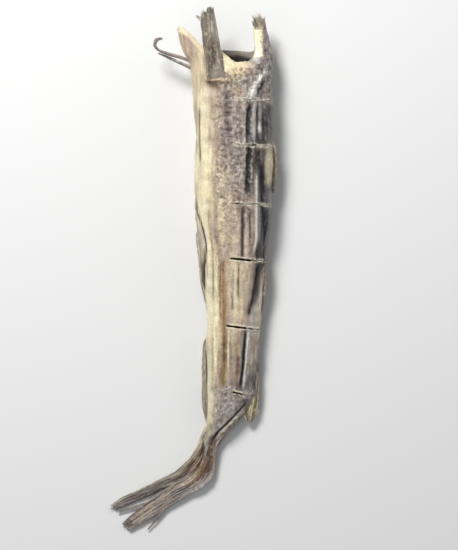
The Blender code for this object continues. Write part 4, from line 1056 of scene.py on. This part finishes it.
# Dried fins. Each is a sheet between two edges of (x, y, z) points.
PECTORAL_FORE = (
    [
        (17.5, 226, 54), (17, 234, 56.5), (15.5, 250, 58), (13, 266, 58), (11.5, 282, 59), (10, 294, 59),
        (11.5, 308, 58),
    ],
    [
        (27, 226, 55), (26, 234, 57.5), (25, 250, 58), (24, 266, 59), (23, 282, 59), (21.5, 294, 59),
        (17.5, 309, 58),
    ],
)
PECTORAL_MAIN = (
    [
        (19, 226, 55), (18.5, 234, 57.5), (17, 250, 59), (16, 266, 59), (15.5, 282, 59.5), (15.5, 300, 59),
        (18.5, 313.5, 58),
    ],
    [
        (42, 226, 54.5), (39, 234, 57), (36.5, 248, 58), (34, 264, 58), (31.5, 279, 58), (28.5, 296, 58),
        (25, 313, 57),
    ],
)
PECTORAL_BARB = (
    [(12.5, 301, 58), (8, 303, 57), (4, 304, 56)],
    [(12.5, 293, 58), (8, 298, 57), (3.5, 302, 56)],
)
FAR_PECTORAL = (
    [(12, 222, 3), (11, 240, 4), (13, 262, 6), (15, 282, 9)],
    [(34, 222, 3), (32, 240, 4), (27, 262, 6), (22, 284, 9)],
)
UPPER_PELVIC = (
    [
        (2, 251, 34), (-14, 257, 35), (-32, 262, 36), (-40, 265, 37), (-43, 269.5, 38), (-41, 274, 38),
        (-35, 276.5, 38),
    ],
    [
        (6, 245, 34), (-12, 252, 35), (-30, 257, 36), (-41, 262, 37), (-47, 269, 38), (-45, 277, 38),
        (-36, 279, 38),
    ],
)
LOWER_PELVIC = (
    [(2, 243, 31), (-14, 250, 32), (-28, 256, 32.5), (-42, 261, 33)],
    [(5, 237, 31), (-12, 245, 32), (-27, 252, 32.5), (-41, 259, 33)],
)
FIRST_DORSAL = (
    [(86, 158, 40), (86, 140, 36), (87, 122, 33), (90, 104, 30), (96, 93, 28)],
    [(95, 158, 38), (100, 145, 33), (101.5, 126, 29), (101, 108, 27), (98, 92, 26)],
)
SECOND_DORSAL = (
    [(78, 24, 30), (78, 0, 28), (75, -30, 24), (72, -62, 21)],
    [(89, 18, 27), (90.5, -6, 25), (87.5, -32, 22), (80, -66, 19)],
)
THIRD_DORSAL = (
    [(70, -118, 21), (68, -138, 20), (64, -158, 18), (61, -172, 15), (66, -183, 12)],
    [(80, -124, 17), (80, -140, 16), (79, -160, 14), (77, -174, 11), (71, -186, 9)],
)
FIRST_ANAL = (
    [(10, 60, 16), (4, 40, 15), (7, 12, 14), (9, -12, 13), (15, -40, 13)],
    [(18, 60, 16), (16, 40, 15), (18, 12, 14), (20, -12, 13), (24, -40, 13)],
)
SECOND_ANAL = (
    [(20, -76, 16), (12.5, -90, 15), (11, -120, 13), (11, -155, 12), (17, -186, 10), (21, -194, 9)],
    [(30, -76, 16), (28, -90, 15), (28, -120, 13), (28, -155, 12), (27, -180, 10), (25, -194, 9)],
)
TAIL_UPPER = (
    [
        (26, -180, 11), (15, -190, 13), (9, -201, 13), (5, -213, 13), (-1, -223, 12), (-10, -233, 11),
        (-22, -243, 10), (-37, -251, 9), (-53, -259, 8), (-70, -267, 7), (-87, -275, 5), (-101.4, -286, 4),
    ],
    [
        (38, -185, 10), (27, -194, 8), (20, -204, 6), (17, -216, 5), (14, -228, 4.5), (8, -240, 4),
        (-3, -252, 4), (-19, -259, 4), (-35, -265, 4), (-52, -273, 3.5), (-71, -281, 3), (-94, -290, 2.5),
    ],
)
TAIL_LOWER = (
    [
        (31, -185, 8), (23, -197, 6), (16, -209, 5), (13, -222, 4.5), (8, -235, 4), (-1, -247, 4),
        (-14, -257, 4), (-29, -264, 4), (-45, -274, 4), (-59, -284, 4), (-74, -295, 4), (-86, -307, 4),
    ],
    [
        (52, -185, 11), (37, -200, 13), (29, -214, 13), (27.5, -228, 12), (26.5, -240, 11), (22, -252, 10),
        (12.5, -262, 9), (-3, -270, 8), (-19, -280, 7), (-35, -290, 6), (-55, -303, 5), (-76, -314.4, 4),
    ],
)
TAIL_MIDDLE = (
    [(-20, -257, 5), (-36, -266, 5), (-56, -279, 4), (-72, -285, 3.5), (-91, -291, 3)],
    [(-26, -265, 4), (-38, -271, 4), (-56, -283, 4), (-71, -288, 3.5), (-90, -294, 3)],
)
TAIL_STRAND = (
    [(-28, -283, 6), (-36, -294, 5), (-43.5, -303.5, 4), (-52, -312.5, 3)],
    [(-38, -286, 6), (-44, -298, 5), (-50, -307, 4), (-55, -314, 3)],
)
# A fin's section, how much thinner it is at its tip, where along it its torn end begins, and its grid.
FIN_ROUNDNESS = 0.7
FIN_TIP_THINNER = 0.55
FIN_TORN_FROM = 0.6
FIN_ROW_STEP = 1.2
FIN_COLUMNS = 28
RAY_STEPS = 36

# Paint of the fins: (place along, colours from the first edge to the second).
GREY_PAINT = [
    (0, ("fin_grey", "grey_tan", "grey", "grey", "grey_tan")),
    (0.08, ("drab", "grey", "grey", "mauve", "grey")),
    (0.17, ("drab", "fin_grey", "grey", "mauve", "grey")),
    (0.25, ("dim_brown", "dim_brown", "fin_grey", "grey", "drab")),
    (0.35, ("drab", "dim_brown", "dim_brown", "fin_grey", "drab")),
    (0.46, ("drab", "dim_brown", "dim_brown", "fin_grey", "fin_grey")),
    (0.56, ("drab", "drab", "drab", "drab", "fin_grey")),
    (0.66, ("drab", "fin_grey", "drab", "fin_grey", "silver")),
    (0.78, ("drab", "fin_grey", "grey", "fin_grey", "grey")),
    (0.88, ("dim_brown", "fin_grey", "drab", "fin_grey", "grey")),
    (1, ("drab", "fin_grey", "fin_grey", "grey", "fin_grey")),
]
FORE_PAINT = [
    (0, ("fin_grey", "grey_tan", "grey")), (0.2, ("drab", "dim_brown", "grey")),
    (0.5, ("drab", "drab", "dim_brown")), (0.75, ("drab", "drab", "fin_grey")),
    (1, ("dim_brown", "drab", "fin_grey")),
]
THREAD_PAINT = [(0, ("grey_tan", "mauve")), (0.5, ("grey", "dusk")), (1, ("dusk", "grey"))]
BARB_PAINT = [(0, ("grey", "silver")), (1, ("silver", "frost"))]
FRINGE_PAINT = [
    (0, ("dark_grey", "olive_grey", "tan", "grey_cream")), (0.5, ("umber", "grey", "olive_grey", "tan")),
    (1, ("dark_grey", "grey", "dusk", "grey")),
]
LOWER_FRINGE_PAINT = [
    (0, ("slate", "dark_grey", "grey")), (0.5, ("umber", "mauve", "olive_grey")),
    (1, ("dusk", "grey", "grey_cream")),
]
RUMP_PAINT = [
    (0, ("mauve", "grey_tan", "mauve", "grey_tan", "mauve")),
    (0.3, ("grey_tan", "mauve", "tan", "mauve", "grey_tan")),
    (0.5, ("cream", "olive_brown", "bright_cream", "olive", "cream")),
    (1, ("bright_cream", "olive_brown", "bright_cream", "olive_brown", "bright_cream")),
]
BELLY_FRINGE_PAINT = [
    (0, ("olive_grey", "grey_cream", "grey_cream")), (0.5, ("olive_grey", "grey_tan", "grey_cream")),
    (1, ("grey", "olive_grey", "grey_cream")),
]
UPPER_TAIL_PAINT = [
    (0, ("mauve", "mauve", "mauve", "mauve", "mauve", "dusk")),
    (0.14, ("grey_cream", "cream", "grey_tan", "mauve", "brown", "umber")),
    (0.3, ("cream", "grey_cream", "tan", "red_brown", "brown", "umber")),
    (0.45, ("grey_cream", "olive_grey", "red_brown", "pink", "red_brown", "umber")),
    (0.58, ("grey", "grey_cream", "grey", "dark_brown", "frost", "dusk")),
    (0.65, ("grey_cream", "grey", "grey", "dusk", "grey_cream", "dusk")),
    (0.72, ("grey_cream", "blue_grey", "grey", "dusk", "dark_grey", "umber")),
    (1, ("grey_cream", "silver", "grey", "mauve", "dusk", "dark_grey")),
]
LOWER_TAIL_PAINT = [
    (0, ("mauve", "mauve", "mauve", "mauve", "mauve", "grey_cream")),
    (0.14, ("mauve", "dark_brown", "umber", "dark_brown", "dusk", "grey")),
    (0.28, ("brown", "red_brown", "dark_brown", "umber", "brown", "mauve")),
    (0.42, ("tan", "brown", "red_brown", "dark_brown", "mauve", "silver")),
    (0.52, ("grey_cream", "tan", "dark_brown", "mauve", "silver", "silver")),
    (0.6, ("grey_cream", "mauve", "dusk", "silver", "grey", "silver")),
    (0.7, ("dusk", "grey_tan", "mauve", "grey", "mauve", "dusk")),
    (0.8, ("dusk", "grey_tan", "mauve", "grey", "dusk", "dusk")),
    (1, ("dusk", "grey_tan", "mauve", "grey_tan", "mauve", "dusk")),
]


def along(line, t):
    """Points on the smooth curve through a fin edge's points, at shares `t` of its points' count."""
    knots = np.linspace(0, 1, len(line))
    return np.stack([through(list(zip(knots, values)))(t) for values in np.array(line, float).T], axis=-1)


def on_fin(sheet, t, across, lift, extra):
    """Points of a fin at shares `t` along it and `across` from -1 to 1.

    They lie between its edges, sunk in the middle by its sag, and raised by `lift` half thicknesses and by
    `extra` millimetres. The fin thins towards its tip.
    """
    (first, second), half_thickness, sag = sheet
    a, b = along(first, t), along(second, t)
    ahead, behind = np.clip(t + 0.01, 0, 1), np.clip(t - 0.01, 0, 1)
    forward = along(first, ahead) + along(second, ahead) - along(first, behind) - along(second, behind)
    normal = np.cross(forward, b - a)
    normal /= np.maximum(np.linalg.norm(normal, axis=-1, keepdims=True), 1e-9)
    normal *= np.sign(normal[..., 2:])
    rise = half_thickness * (1 - FIN_TIP_THINNER * t) * lift - sag * (1 - across**2) + extra
    return (a + b) / 2 + (b - a) / 2 * across[..., None] + normal * rise[..., None]


def painted(paint, t, share):
    """Colours from a paint table at places along and shares across, blended both ways by smooth steps."""
    places = np.array([place for place, _ in paint])
    grid = np.array([[linear(name) for name in names] for _, names in paint])
    i = np.clip(np.searchsorted(places, t) - 1, 0, len(places) - 2)
    u = step((t - places[i]) / (places[i + 1] - places[i]))[..., None]
    c = np.clip(share, 0, 1) * (grid.shape[1] - 1)
    j = np.clip(np.floor(c), 0, grid.shape[1] - 2).astype(np.int64)
    v = step((c - j) * 1.8 - 0.4)[..., None]
    here = grid[i, j] * (1 - v) + grid[i, j + 1] * v
    ahead = grid[i + 1, j] * (1 - v) + grid[i + 1, j + 1] * v
    return here * (1 - u) + ahead * u


def length_of(sheet):
    """The length of a fin's first edge."""
    return np.linalg.norm(np.diff(np.array(sheet[0][0], float), axis=0), axis=1).sum()


def fin_sheet(sheet, paint, furrows, ridge, fray, seed):
    """(points, faces, tint) of a dried fin's skin.

    At each place along it a flat oval runs from one edge to the other and back. Furrows, from layered noise
    that is much longer than it is wide, run along it. Its end is blunt and torn: each part of its width
    ends at its own length, with notches between them, and both edges are ragged.
    """
    length = length_of(sheet)
    rows = max(int(length / FIN_ROW_STEP), 10)
    t = np.linspace(0, 1, rows)[:, None]
    turn = np.linspace(0, 2 * np.pi, 2 * FIN_COLUMNS, endpoint=False)[None]
    even = np.arcsin(np.cos(turn)) / (np.pi / 2)
    across = 0.3 * np.cos(turn) + 0.7 * even
    up = signed_power(np.sin(turn), FIN_ROUNDNESS)
    blank = 0 * t * across
    place = np.stack([across * furrows + blank, t * length / 24 + blank, seed + blank], axis=-1)
    furrow = layered(place, 1, 1, seed, 3) + 0.35 * noise(place * (2.2, 4, 1), 1, 1, seed + 3)
    number = np.floor(across * furrows * 0.8 + 0.3 * np.sin(9 * across + seed)).astype(np.int64)
    torn = 0.5 + 0.5 * lattice(number, seed, 0, 7) + 0.35 * noise(place * (5, 0, 1), 1, 1, seed + 3)
    ends = 1 - fray * np.clip(torn, 0, 1.3)
    past = (t - FIN_TORN_FROM) * (ends - FIN_TORN_FROM) / (1 - FIN_TORN_FROM)
    t = np.where(t < FIN_TORN_FROM, t, FIN_TORN_FROM + past)
    jagged = 0.05 * noise(place * (0, 6, 1), 1, 1, seed + 4)
    jagged = jagged + 0.04 * noise(place * (0, 17, 1), 1, 1, seed + 5)
    ragged = 1 + np.abs(across) ** 6 * jagged
    plan = on_fin(sheet, t, across, 0 * t, 0)
    lumps = 0.45 * layered(plan, 5, 6, seed + 2) + 0.6 * noise(plan, 15, 15, seed + 5)
    inner = np.minimum(1, 5 * (1 - np.abs(across)))
    extra = ridge * furrow * inner + lumps * (0.4 + 0.6 * step(t * 3))
    points = on_fin(sheet, t, across * ragged, up * (1 + 0.25 * furrow), extra)
    share = (across + 1) / 2 + 0.05 * noise(plan, 5, 9, seed + 6)
    tint = painted(paint, t + 0.03 * noise(plan, 5, 5, seed + 7), share)
    # Painted shade in the furrows' valleys, where the sheet sinks with them, and paler crests.
    tint = washed(tint, "umber", 0.42 * step(-furrow * 2.2 - 0.25))
    tint = washed(tint, "cream", 0.25 * step(furrow * 2.2 - 0.45))
    tint = patched(plan, tint, FIN_PATCHES, 1, seed)
    tint *= (1 + 0.14 * noise(plan, 2.2, 2.2, seed + 8) + 0.12 * noise(plan, 1.2, 1.2, seed + 9))[..., None]
    count, wide = points.shape[:2]
    index = np.arange(count * wide).reshape(count, wide)
    faces = joined_faces(np.concatenate([index, index[:, :1]], axis=1))
    caps = []
    for ring in (index[0], index[-1]):
        pairs = np.stack([ring[1:FIN_COLUMNS], ring[:FIN_COLUMNS:-1]], -1)
        strip = np.concatenate([[[ring[0], ring[0]]], pairs, [[ring[FIN_COLUMNS], ring[FIN_COLUMNS]]]])
        caps.append(joined_faces(strip))
    return points.reshape(-1, 3), np.concatenate([faces, caps[0][:, ::-1], caps[1]]), tint.reshape(-1, 3)


# A direction close to upright that no strand lies along, so that a ring's plane is never lost.
NEARLY_UP = np.array([0.12, 0.07, 1.0])
START_FAN, END_FAN = (0, 2, 1, 0, 3, 2, 0, 4, 3), (0, 1, 2, 0, 2, 3, 0, 3, 4)


def tubes(paths, radius, tint, flatness=0.75):
    """(points, faces, tint) of strands along paths of points, with a radius and a colour at each point.

    Round each point stands a ring of five, in the plane across the path, flattened from above. A fan of
    triangles closes each end.
    """
    count, steps = paths.shape[:2]
    forward = np.gradient(paths, axis=1)
    side = np.cross(forward, NEARLY_UP)
    side /= np.maximum(np.linalg.norm(side, axis=-1, keepdims=True), 1e-9)
    lift = np.cross(side, forward)
    lift /= np.maximum(np.linalg.norm(lift, axis=-1, keepdims=True), 1e-9)
    turn = np.linspace(0, 2 * np.pi, 5, endpoint=False)[:, None]
    ring = np.cos(turn) * side[:, :, None] + flatness * np.sin(turn) * lift[:, :, None]
    points = paths[:, :, None] + radius[:, :, None, None] * ring
    index = np.arange(count * steps * 5).reshape(count, steps, 5)
    loop = np.concatenate([index, index[..., :1]], axis=-1)
    a, b, c, d = loop[:, :-1, :-1], loop[:, :-1, 1:], loop[:, 1:, 1:], loop[:, 1:, :-1]
    faces = [np.stack([a, b, c], -1).reshape(-1, 3), np.stack([a, c, d], -1).reshape(-1, 3)]
    for end, fan in ((index[:, 0], START_FAN), (index[:, -1], END_FAN)):
        faces.append(end[:, fan].reshape(-1, 3))
    return points.reshape(-1, 3), np.concatenate(faces), np.repeat(tint.reshape(-1, 3), 5, axis=0)


def fin_rays(sheet, paint, count, radius, seed):
    """(points, faces, tint) of what shows of a fin's rays: strands half sunk in its skin.

    Each has its own start, length, place across, width and shade. They wander, and thin to both ends.
    """
    number = np.arange(count)
    own = [0.5 + 0.5 * lattice(number, k, seed, 9)[:, None] for k in range(6)]
    s = np.linspace(0, 1, RAY_STEPS)[None]
    start = 0.02 + 0.55 * own[0] ** 1.5
    t = start + (0.97 - start) * (0.3 + 0.7 * own[1] ** 0.6) * s
    across = (own[2] * 2 - 1) * 0.95
    blank = 0 * s * across
    place = np.stack([blank + number[:, None] * 5.3, t * length_of(sheet) / 13, blank + seed], -1)
    across = np.clip(across + 0.10 * noise(place, 1, 1, seed), -0.97, 0.97)
    extra = 0.45 * noise(place * (1, 1.7, 1), 1, 1, seed + 1) - 0.1
    paths = on_fin(sheet, t, across, (1 - across**2) ** (FIN_ROUNDNESS / 2), extra)
    size = radius * (0.5 + 1.0 * own[3] ** 2) * (0.15 + 0.85 * step(s * 5) * step((1 - s) * 3))
    tint = painted(paint, t, (across + 1) / 2) * (0.78 + 0.5 * own[4])[..., None]
    tint = washed(tint, "frost", 0.45 * step(own[5] * 4 - 3) + blank)
    tint = washed(tint, "dark_brown", 0.5 * step(1.2 - own[5] * 5) + blank)
    return tubes(paths, size, patched(paths, tint, RAY_PATCHES, 1, seed))


def joined(parts):
    """Several (points, faces, tint) as one."""
    starts = np.cumsum([0] + [len(points) for points, _, _ in parts[:-1]])
    faces = np.concatenate([faces + start for (_, faces, _), start in zip(parts, starts)])
    return np.concatenate([p for p, _, _ in parts]), faces, np.concatenate([t for _, _, t in parts])


# Each fin's sheets: (edges, half thickness, sag), paint, furrows, ridge, fray, rays, their radius and a
# seed.
FINS = {
    "near_pectoral": [
        ((PECTORAL_MAIN, 2.3, 0.9), GREY_PAINT, 4, 0.5, 0.04, 12, 0.42, 200),
        ((PECTORAL_FORE, 2.0, 0.6), FORE_PAINT, 2, 0.45, 0.05, 6, 0.42, 210),
        ((PECTORAL_BARB, 1.2, 0.2), BARB_PAINT, 2, 0.2, 0.1, 1, 0.3, 220),
    ],
    "far_pectoral": [((FAR_PECTORAL, 2.2, 0.6), GREY_PAINT, 5, 0.5, 0.1, 8, 0.55, 230)],
    "pelvic_fins": [
        ((UPPER_PELVIC, 1.5, 0.2), THREAD_PAINT, 2, 0.3, 0.05, 2, 0.4, 240),
        ((LOWER_PELVIC, 1.4, 0.2), THREAD_PAINT, 2, 0.3, 0.08, 2, 0.4, 250),
    ],
    "first_dorsal_fin": [((FIRST_DORSAL, 2.2, 0.5), FRINGE_PAINT, 5, 1.0, 0.12, 18, 0.5, 260)],
    "second_dorsal_fin": [((SECOND_DORSAL, 2.0, 0.4), LOWER_FRINGE_PAINT, 4, 0.9, 0.1, 16, 0.45, 270)],
    "third_dorsal_fin": [((THIRD_DORSAL, 2.2, 0.4), RUMP_PAINT, 6, 1.1, 0.34, 16, 0.65, 280)],
    "anal_fins": [
        ((FIRST_ANAL, 2.8, 0.3), BELLY_FRINGE_PAINT, 4, 0.8, 0.08, 12, 0.5, 290),
        ((SECOND_ANAL, 3.0, 0.4), BELLY_FRINGE_PAINT, 5, 0.9, 0.12, 18, 0.55, 300),
    ],
    "tail_fin": [
        ((TAIL_UPPER, 2.2, 1.2), UPPER_TAIL_PAINT, 4, 1.2, 0.05, 16, 0.5, 310),
        ((TAIL_LOWER, 2.4, 1.6), LOWER_TAIL_PAINT, 5, 1.3, 0.05, 18, 0.5, 320),
        ((TAIL_MIDDLE, 1.4, 0.2), THREAD_PAINT, 2, 0.4, 0.08, 4, 0.45, 330),
        ((TAIL_STRAND, 1.3, 0.2), THREAD_PAINT, 2, 0.3, 0.08, 3, 0.4, 340),
    ],
}


def make_fins(rays):
    """Every fin or pair of fins as a piece of its own: its skin and its rays."""
    for name, sheets in FINS.items():
        parts = []
        for sheet, paint, furrows, ridge, fray, count, radius, seed in sheets:
            parts.append(fin_sheet(sheet, paint, furrows, ridge, fray, seed))
            parts.append(fin_rays(sheet, paint, count, radius, seed + 5))
        points, faces, tint = joined(parts)
        add_piece(name, points, faces, tint, FLESH_GLOSS, FIN_CRACKED, [rays])


def strands(roots, tips, radius, bow, kink, colours, seed, flatness=0.75, taper=0.75, steps=7):
    """(points, faces, tint) of many tapered strands from a root to a tip.

    The middle of a strand bows by its own amount up and to a side, it is kinked by noise, and it thins to
    its tip.
    """
    count = len(roots)
    number = np.arange(count)
    s = np.linspace(0, 1, steps)[None]
    aside = np.stack([lattice(number, k, seed, 11) for k in range(3)], -1) + (0, 0, 0.6)
    swing = (bow[:, None] * np.sin(np.pi * s))[..., None]
    jog = np.stack([lattice(number[:, None], np.arange(steps)[None], seed + k, 13) for k in range(3)], -1)
    paths = roots[:, None] + (tips - roots)[:, None] * s[..., None] + swing * aside[:, None]
    paths = paths + kink * jog * step(4 * s)[..., None]
    size = radius[:, None] * (1 - taper * s**1.5)
    mix = (0.5 + 0.5 * lattice(number, 3, seed, 12))[:, None, None]
    first, second = linear(colours[0]), linear(colours[1])
    tint = (first + (second - first) * mix) * (1 - 0.15 * (1 - s))[..., None]
    return tubes(paths, size, tint, flatness)


def height_map(points, near):
    """A function of plan places that gives the near skin's height, the highest in each millimetre square."""
    chosen = points[near > 0.5]
    corner = np.floor(chosen[:, :2].min(axis=0)) - 2
    place = np.floor(chosen[:, :2] - corner).astype(np.int64)
    grid = np.full(place.max(axis=0) + 3, -np.inf)
    np.maximum.at(grid, (place[:, 0], place[:, 1]), chosen[:, 2])
    for _ in range(4):
        spread = np.max([np.roll(grid, shift, axis) for shift in (-1, 1) for axis in (0, 1)], axis=0)
        grid = np.where(np.isfinite(grid), grid, spread)
    grid = np.where(np.isfinite(grid), grid, chosen[:, 2].min())

    def height(x, y):
        i = np.clip(np.floor(x - corner[0]).astype(np.int64), 0, grid.shape[0] - 1)
        j = np.clip(np.floor(y - corner[1]).astype(np.int64), 0, grid.shape[1] - 1)
        return grid[i, j]

    return height


# Colours of the cut fibres, in turn, and the second ones at the first cut, where they are bleached.
FIBRE_COLOURS = [("bright_cream", "frost"), ("grey_cream", "olive_grey")]
BLEACHED_COLOURS = ("frost", "silver")
BRIDGE_COLOURS = ("cream", "grey")
FIBRES_PER_MM, BRIDGES_PER_MM = 3.2, 0.5
FIBRE_KINK, FIBRE_FLATNESS = 0.2, 0.6


def make_cut_fibres(fibres, height):
    """Torn fibres in the saw cuts: long crinkled ones where a cut is closed up, and some that bridge it."""
    random = np.random.default_rng(7)
    parts = []
    for number, ((y_near, y_far, x_near, x_far), opening) in enumerate(CUTS):
        width = x_far - x_near

        def middle(x):
            return y_near + (y_far - y_near) * (x - x_near) / width

        # Lengthwise.
        x = x_near + width * random.random(int(width * FIBRES_PER_MM))
        x = x[random.random(len(x)) < 1.1 - 1.4 * through(opening)(x)]
        reach = random.uniform(3, 9, len(x)) * np.where(random.random(len(x)) < 0.5, -1, 1)
        reach = np.clip(x + reach, x_near, x_far) - x
        y = middle(x) + random.normal(0, 0.9, len(x))
        y_end = middle(x + reach) + random.normal(0, 1.0, len(x))
        roots = np.stack([x, y, height(x, y) - random.uniform(0.1, 0.8, len(x))], -1)
        tips = np.stack([x + reach, y_end, height(x + reach, y_end) - random.uniform(-0.1, 0.7, len(x))], -1)
        shown = [FIBRE_COLOURS[0], BLEACHED_COLOURS if number == 0 else FIBRE_COLOURS[1]]
        for share, colours in enumerate(shown):
            mine = np.arange(len(x)) % 2 == share
            radius, bow = random.uniform(0.13, 0.4, mine.sum()), random.uniform(0, 0.6, mine.sum())
            looks = FIBRE_KINK, colours, 400 + 2 * number + share, FIBRE_FLATNESS
            parts.append(strands(roots[mine], tips[mine], radius, bow, *looks))
        # Across.
        x = x_near + width * random.random(int(width * BRIDGES_PER_MM))
        x = x[random.random(len(x)) < 1.0 - 1.25 * through(opening)(x)]
        end = x + random.normal(0, 3.0, len(x))
        y = middle(x) + random.uniform(0.4, 2.6, len(x))
        y_end = middle(end) - random.uniform(0.4, 2.6, len(x))
        roots = np.stack([x, y, height(x, y) - 0.3], -1)
        tips = np.stack([end, y_end, height(end, y_end) - 0.3], -1)
        radius, bow = random.uniform(0.13, 0.3, len(x)), random.uniform(0.2, 0.9, len(x))
        looks = FIBRE_KINK, BRIDGE_COLOURS, 420 + number, FIBRE_FLATNESS
        parts.append(strands(roots, tips, radius, bow, *looks))
    points, faces, tint = joined(parts)
    add_piece("saw_cut_fibres", points, faces, tint, 0, 0, [fibres])


# Bundles of torn fibres: (place, spread, direction, how many, longest, colours).
TORN_BUNDLES = [
    # The tips of the nape's horn and of the throat's.
    ((79.5, 300, 43.5), (4.5, 2, 1.5), (0, 1, 0.05), 60, 7.0, ("frost", "grey_cream")),
    ((85, 295, 43), (2, 3, 1.5), (0.1, 1, 0), 24, 6.0, ("tan", "grey_tan")),
    ((75.5, 294, 45), (2.5, 5, 1.5), (-0.35, 0.9, 0.05), 60, 7.0, ("dark_grey", "grey")),
    ((-16, 287, 30), (2, 2.5, 3), (-0.3, 1, 0.1), 24, 4.0, ("cream", "peach")),
    # The near pectoral fin.
    ((22, 307, 58.2), (4, 3, 0.8), (-0.05, 1, 0), 50, 6.0, ("grey", "drab")),
    ((14.2, 303, 58.5), (3.4, 3, 0.8), (-0.15, 1, 0), 36, 6.5, ("fin_grey", "dim_brown")),
    # The tail fin's prongs and strand.
    ((-91, -285, 3.5), (5, 2.4, 0.8), (-1, -0.3, 0), 36, 7.0, ("grey_cream", "dusk")),
    ((-75, -305, 4), (6, 5, 0.9), (-1, -0.55, 0), 50, 7.0, ("grey_tan", "dusk")),
    ((-52, -310, 3.2), (0.8, 1.0, 0.5), (-0.45, -1, 0), 8, 5.0, ("grey_tan", "grey")),
    # The third dorsal fin.
    ((69, -166, 14), (8, 7, 1.5), (-0.1, -1, -0.1), 50, 9.0, ("bright_cream", "cream")),
]
TORN_KINK, TORN_FLATNESS, TORN_TAPER = 0.12, 0.5, 0.8
LOWEST_ROOT, LOWEST_TIP = 1.0, 0.8


def make_torn_edges(fibres):
    """Thin torn fibres that fray the tips of the horns and of the fins. They stay above the floor."""
    random = np.random.default_rng(11)
    parts = []
    for number, (place, spread, direction, count, longest, colours) in enumerate(TORN_BUNDLES):
        roots = np.array(place) + random.normal(0, 1, (count, 3)) * spread * 0.5
        reach = random.uniform(0.35, 1, (count, 1)) * longest
        tips = roots + reach * (np.array(direction) + random.normal(0, 0.16, (count, 3)) * (1, 1, 0.4))
        roots[:, 2], tips[:, 2] = np.maximum(roots[:, 2], LOWEST_ROOT), np.maximum(tips[:, 2], LOWEST_TIP)
        radius, bow = random.uniform(0.16, 0.45, count), random.uniform(0, 0.4, count)
        looks = TORN_KINK, colours, 520 + number, TORN_FLATNESS, TORN_TAPER
        parts.append(strands(roots, tips, radius, bow, *looks))
    points, faces, tint = joined(parts)
    add_piece("torn_edges", points, faces, tint, 0, 0, [fibres])


# The stage, in metres: the floor's reach and colour, and the lights as (name, place from the middle, size,
# power).
FLOOR_REACH = 4.0
FLOOR_COLOUR, FLOOR_ROUGHNESS = (0.78, 0.78, 0.77, 1), 0.9
LIGHTS = [
    ("key", (-0.7, 1.5, 1.6), 0.7, 56),
    ("fill", (-1.0, -0.9, 1.8), 1.8, 5),
    ("back_light", (1.5, 0.9, 1.0), 0.9, 4),
]
SKY_COLOUR, SKY_STRENGTH = (0.95, 0.97, 1.0, 1), 0.24
FISH_MIDDLE = (43.8, -6.0, 30.0)
CAMERA_DISTANCE, CAMERA_SENSOR, SHOWN_HEIGHT = 4.0, 36.0, 660


def make_floor():
    """A wide pale floor under the fish."""
    mesh = bpy.data.meshes.new("floor")
    corners = [(FLOOR_REACH * x, FLOOR_REACH * y, 0) for x, y in ((-1, -1), (1, -1), (1, 1), (-1, 1))]
    mesh.from_pydata(corners, [], [(0, 1, 2, 3)])
    floor = bpy.data.objects.new("floor", mesh)
    bpy.context.scene.collection.objects.link(floor)
    material = bpy.data.materials.new("pale_floor")
    material.use_nodes = True
    shader = material.node_tree.nodes["Principled BSDF"]
    shader.inputs["Base Color"].default_value = FLOOR_COLOUR
    shader.inputs["Roughness"].default_value = FLOOR_ROUGHNESS
    mesh.materials.append(material)


def add_light(name, place, aim, size, power):
    """A soft square light at a place, turned towards a point."""
    data = bpy.data.lights.new(name, "AREA")
    data.shape = "SQUARE"
    data.size = size
    data.energy = power
    light = bpy.data.objects.new(name, data)
    light.location = place
    direction = Vector(aim) - Vector(place)
    light.rotation_euler = direction.to_track_quat("-Z", "Y").to_euler()
    bpy.context.scene.collection.objects.link(light)


def light_and_frame():
    """Soft studio light from the neck's side, and a camera that looks straight down from four metres."""
    middle = as_metres(np.array(FISH_MIDDLE))
    for name, place, size, power in LIGHTS:
        add_light(name, middle + place, middle, size, power)
    world = bpy.data.worlds.new("studio")
    world.use_nodes = True
    sky = world.node_tree.nodes["Background"]
    sky.inputs["Color"].default_value = SKY_COLOUR
    sky.inputs["Strength"].default_value = SKY_STRENGTH
    bpy.context.scene.world = world
    bpy.context.scene.view_settings.view_transform = "Standard"
    camera_data = bpy.data.cameras.new("camera")
    camera_data.sensor_width = CAMERA_SENSOR
    camera_data.lens = CAMERA_SENSOR * CAMERA_DISTANCE / (SHOWN_HEIGHT * UNIT)
    camera = bpy.data.objects.new("camera", camera_data)
    camera.location = middle + (0, 0, CAMERA_DISTANCE)
    bpy.context.scene.collection.objects.link(camera)
    bpy.context.scene.camera = camera


dried_skin = finish("dried_skin", fibre=0.9, grain=1.6, depth=0.35, roughness=0.62, sheen=0.12)
dried_flesh = finish("dried_flesh", fibre=1.2, grain=2.2, depth=0.5, roughness=0.78, sheen=0.1)
fin_horn = finish("fin_rays", fibre=0.8, grain=1.4, depth=0.3, roughness=0.66, sheen=0.1)
dried_fibres = finish("dried_fibres", fibre=0.6, grain=1.0, depth=0.2, roughness=0.7, sheen=0.15)
make_floor()
skin_points, on_near_side = make_body(dried_skin, dried_flesh)
make_fins(fin_horn)
make_cut_fibres(dried_fibres, height_map(skin_points, on_near_side))
make_torn_edges(dried_fibres)
light_and_frame()
